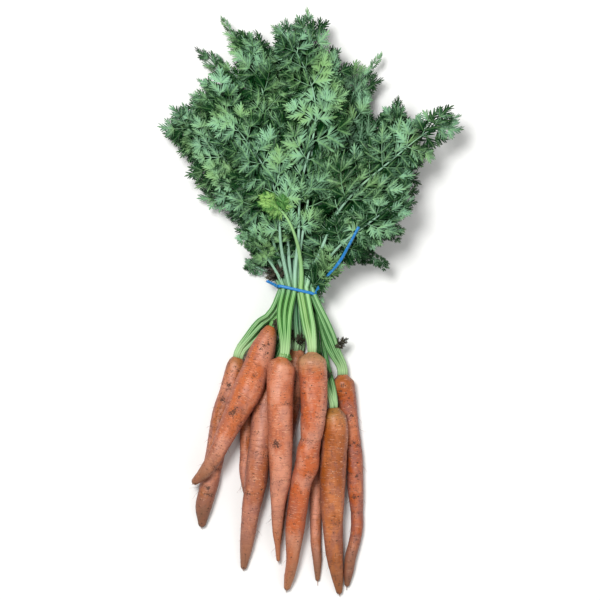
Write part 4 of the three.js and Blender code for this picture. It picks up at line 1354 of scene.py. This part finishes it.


# the painted shade that the leaves get from what lies over them
coverLook = {
    "cell": 4,
    "cells": 1000,  # across the whole plan
    "roof": 100,  # more than the height of the bunch
    "clear": 3,  # leaves this close over a point don't shade it
    "dense": 32,  # points over a cell that make it nearly dark
    "amount": 0.86,
}


def paintShadeUnderCover(pieces):
    # painted shade: darkens every point of the leaves by how much of the bunch lies over it
    spots = []
    for piece in pieces:
        flat = np.empty(len(piece.data.vertices) * 3)
        piece.data.vertices.foreach_get("co", flat)
        spots.append(flat.reshape(-1, 3) / mm)
    x, y, z = np.concatenate(spots).T
    # one number for each point: its cell of the plan, then its height, which stays under the roof
    half = coverLook["cells"] / 2
    column = np.floor(x / coverLook["cell"]) + half
    cell = column * coverLook["cells"] + np.floor(y / coverLook["cell"]) + half
    place = cell * coverLook["roof"] + z
    ordered = np.sort(place)
    over = np.searchsorted(ordered, (cell + 1) * coverLook["roof"])
    over -= np.searchsorted(ordered, place + coverLook["clear"])
    dimming = coverLook["amount"] * (1 - np.exp(-over / coverLook["dense"]))
    first = 0
    for piece in pieces:
        last = first + len(piece.data.vertices)
        shades = np.empty(last - first)
        layer = piece.data.attributes["shade"].data
        layer.foreach_get("value", shades)
        layer.foreach_set("value", shades - dimming[first:last])
        first = last


# wire tie

wireLook = {
    "sides": 12,
    "width": 2.5,
    "thickness": 0.55,
    "core": 0.5,
    "gap": 1.2,  # from the outer stems to the middle of the wire
    "cornerSteps": 6,
    "slope": (0.6, 1, -7),  # how far the wrap is above the tie at its left, its middle and its right
    "shortEnd": [(-32.2, 12, 26.2), (-34.6, 13.6, 29.4), (-38, 15.4, 32), (-41.6, 17, 34)],
    "longEnd": [(-0.2, 5.6, 26.4), (3.8, 13.8, 33.4), (10.5, 22, 42), (20, 33, 52), (28, 47, 60),
                (36, 62, 66)],
    "endStep": 3,
    "twist": (0.6, 14),  # how far the long end leans to either side, and how fast
    "colours": {"Cover": "#1A79BE", "Worn": "#6FB6E6"},
    "scuffs": ((500, 500, 500), 4, 0.6),
    "worn": (0.52, 0.72, 0, 0.7),
    "roughness": (0.3, 0.7, 0.28, 0.5),
    "bump": (0.15, 0.0002),
    "specular": 0.5,
}


def makeWireGroup():
    tree, given, result = newGroup("wireCover", ("Cover", "Worn"))
    scuffs = grain(tree, objectPlace(tree), *wireLook["scuffs"])
    colour = blend(tree, between(tree, scuffs, *wireLook["worn"]), given["Cover"], given["Worn"])
    putOut(tree, result, colour, between(tree, scuffs, *wireLook["roughness"]), scuffs)
    return tree


def stripRing(ring):
    # a flat strip with the round wire showing along its middle
    for vert in ring:
        near = max(0, 1 - abs(vert.co.x) * 2)
        vert.co.x *= wireLook["width"] / 2
        vert.co.y *= wireLook["thickness"] / 2 + wireLook["core"] * near


def wrapSpots():
    # the rounded rectangle round the stems, anticlockwise as seen from the roots: (x, z, angle)
    corner = bunch["stemRadius"] + wireLook["gap"]
    halfHigh = (bunch["rows"] - 1) * bunch["rowRise"] / 2
    spots = []
    for index, (sideX, sideZ) in enumerate(((1, 1), (-1, 1), (-1, -1), (1, -1))):
        for step in range(wireLook["cornerSteps"] + 1):
            angle = math.pi / 2 * (index + step / wireLook["cornerSteps"])
            x = bunch["tieX"] + sideX * bundleHalf() + corner * math.cos(angle)
            z = bunch["lowestRow"] + halfHigh + sideZ * halfHigh + corner * math.sin(angle)
            spots.append((x, z, angle))
    return spots


def wrapStations():
    spots = wrapSpots()
    left, right = (pick(x for x, z, angle in spots) for pick in (min, max))
    low, high = (pick(z for x, z, angle in spots) for pick in (min, max))
    stations = []
    for x, z, angle in spots:
        fall = np.interp((x - left) / (right - left), (0, 0.5, 1), wireLook["slope"])
        y = bunch["tieY"] + fall * (z - low) / (high - low)
        outward = Vector((math.cos(angle), 0, math.sin(angle)))
        heading = Vector((-math.sin(angle), 0, math.cos(angle)))
        stations.append((placeMatrix((x, y, z), Vector((0, 1, 0)), outward, heading), angle * 10, 0))
    return stations


def endStations(points):
    way = splineWay(points)
    steps = max(6, round(way.length / wireLook["endStep"]))
    lean, length = wireLook["twist"]
    stations = []
    for step in range(steps + 1):
        travelled = way.length * step / steps
        heading = Vector(way.heading(travelled))
        wide = Vector((0, 0, 1)).cross(heading).normalized()
        wide = (wide + lean * math.sin(travelled / length) * wide.cross(heading)).normalized()
        outward = wide.cross(heading).normalized()
        stations.append((placeMatrix(way.at(travelled), wide, outward, heading), travelled, 0))
    return stations


def makeWire(material):
    bm, layers = newBmesh()
    rings = sweep(bm, layers, wireLook["sides"], wrapStations(), stripRing)
    # the wrap's two ends become one closed ring
    caps = [face for face in bm.faces if len(face.verts) > 4]
    bmesh.ops.delete(bm, geom=caps, context="FACES_ONLY")
    loops = [edge for ring in (rings[0], rings[-1]) for edge in bm.edges
             if all(vert in ring for vert in edge.verts)]
    bmesh.ops.bridge_loops(bm, edges=loops)
    for points in (wireLook["shortEnd"], wireLook["longEnd"]):
        sweep(bm, layers, wireLook["sides"], endStations(points), stripRing)
    return finishPiece(bm, "wireTie", material, "wire_tie")


# build everything

skinGroup = makeSkinGroup()
leafGroup = makeLeafGroup()
for number, (letter, carrot) in enumerate(carrots.items()):
    makeRoot(letter, carrot, number, skinGroup)
print("roots made:", len(carrots))

shapeRng = random.Random("leaf shapes")
leaflets = [makePinnule(shapeRng) for _ in range(leafletLook["kinds"])]
shapes = {
    (kind, hand): [makePinna(shapeRng, leaflets, pairs, hand == "left") for _ in range(pinnaLook["kinds"])]
    for kind, pairs in pinnaLook["pairs"].items() for hand in ("left", "right")
}
sharedMaterials = {
    "dead": leafMaterial("leafDead", leafGroup, leafColours["dead"]),
    "young": leafMaterial("leafYoung", leafGroup, leafColours["young"]),
}
leaves = []
for letter, carrot in carrots.items():
    leaves += makeLeaves(letter, carrot, shapes, leafGroup, sharedMaterials)
paintShadeUnderCover(leaves)
print("leaves made:", len(leaves))

makeWire(surfaceMaterial("wireCover", makeWireGroup(), wireLook["colours"], {}, wireLook))
print("wire tie made")


# stage

stageLook = {
    "lookAt": (-13.2, 0.85, 30),  # the middle of the frame
    "frameWidth": 510,
    "distance": 2200,
    "sensor": 36,
    "floorSize": 6,
    "floorColours": ("#F4F4F2", "#F1F1EF"),
    "floorGrain": ((3, 3, 3), 2),
    "floorRoughness": 0.9,
    "world": 0.42,
    "lights": {  # place, size, power
        "keyLight": ((-0.4, 0.5, 1.7), 0.6, 29),
        "fillLight": ((1.0, -0.5, 1.3), 1.2, 4),
    },
}


def makeFloor():
    bm = bmesh.new()
    bmesh.ops.create_grid(bm, x_segments=1, y_segments=1, size=stageLook["floorSize"])
    floor = bpy.data.objects.new("floor", meshFrom(bm, "floor"))
    bpy.context.scene.collection.objects.link(floor)
    material = bpy.data.materials.new("floorPaper")
    material.use_nodes = True
    tree = material.node_tree
    shader = tree.nodes["Principled BSDF"]
    tone = between(tree, grain(tree, objectPlace(tree), *stageLook["floorGrain"]), 0.3, 0.7)
    colour = blend(tree, tone, *(hexColour(text) for text in stageLook["floorColours"]))
    tree.links.new(colour, shader.inputs["Base Color"])
    shader.inputs["Roughness"].default_value = stageLook["floorRoughness"]
    floor.data.materials.append(material)


def addLight(name, place, size, power):
    # a round light that points at the middle of the bunch
    data = bpy.data.lights.new(name, "AREA")
    data.shape = "DISK"
    data.size = size
    data.energy = power
    light = bpy.data.objects.new(name, data)
    light.location = place
    light.rotation_euler = (-Vector(place)).to_track_quat("-Z", "Y").to_euler()
    bpy.context.scene.collection.objects.link(light)


def setWorld():
    world = bpy.data.worlds.new("softStudio")
    world.use_nodes = True
    background = world.node_tree.nodes["Background"]
    background.inputs["Color"].default_value = (1, 1, 1, 1)
    background.inputs["Strength"].default_value = stageLook["world"]
    bpy.context.scene.world = world


def makeCamera():
    data = bpy.data.cameras.new("camera")
    data.sensor_width = stageLook["sensor"]
    data.lens = stageLook["sensor"] * stageLook["distance"] / stageLook["frameWidth"]
    camera = bpy.data.objects.new("camera", data)
    x, y, z = stageLook["lookAt"]
    camera.location = (x * mm, y * mm, (z + stageLook["distance"]) * mm)
    bpy.context.scene.collection.objects.link(camera)
    bpy.context.scene.camera = camera


makeFloor()
for name, (place, size, power) in stageLook["lights"].items():
    addLight(name, place, size, power)
setWorld()
makeCamera()
bpy.context.scene.view_settings.view_transform = "Standard"
print("stage and camera set")
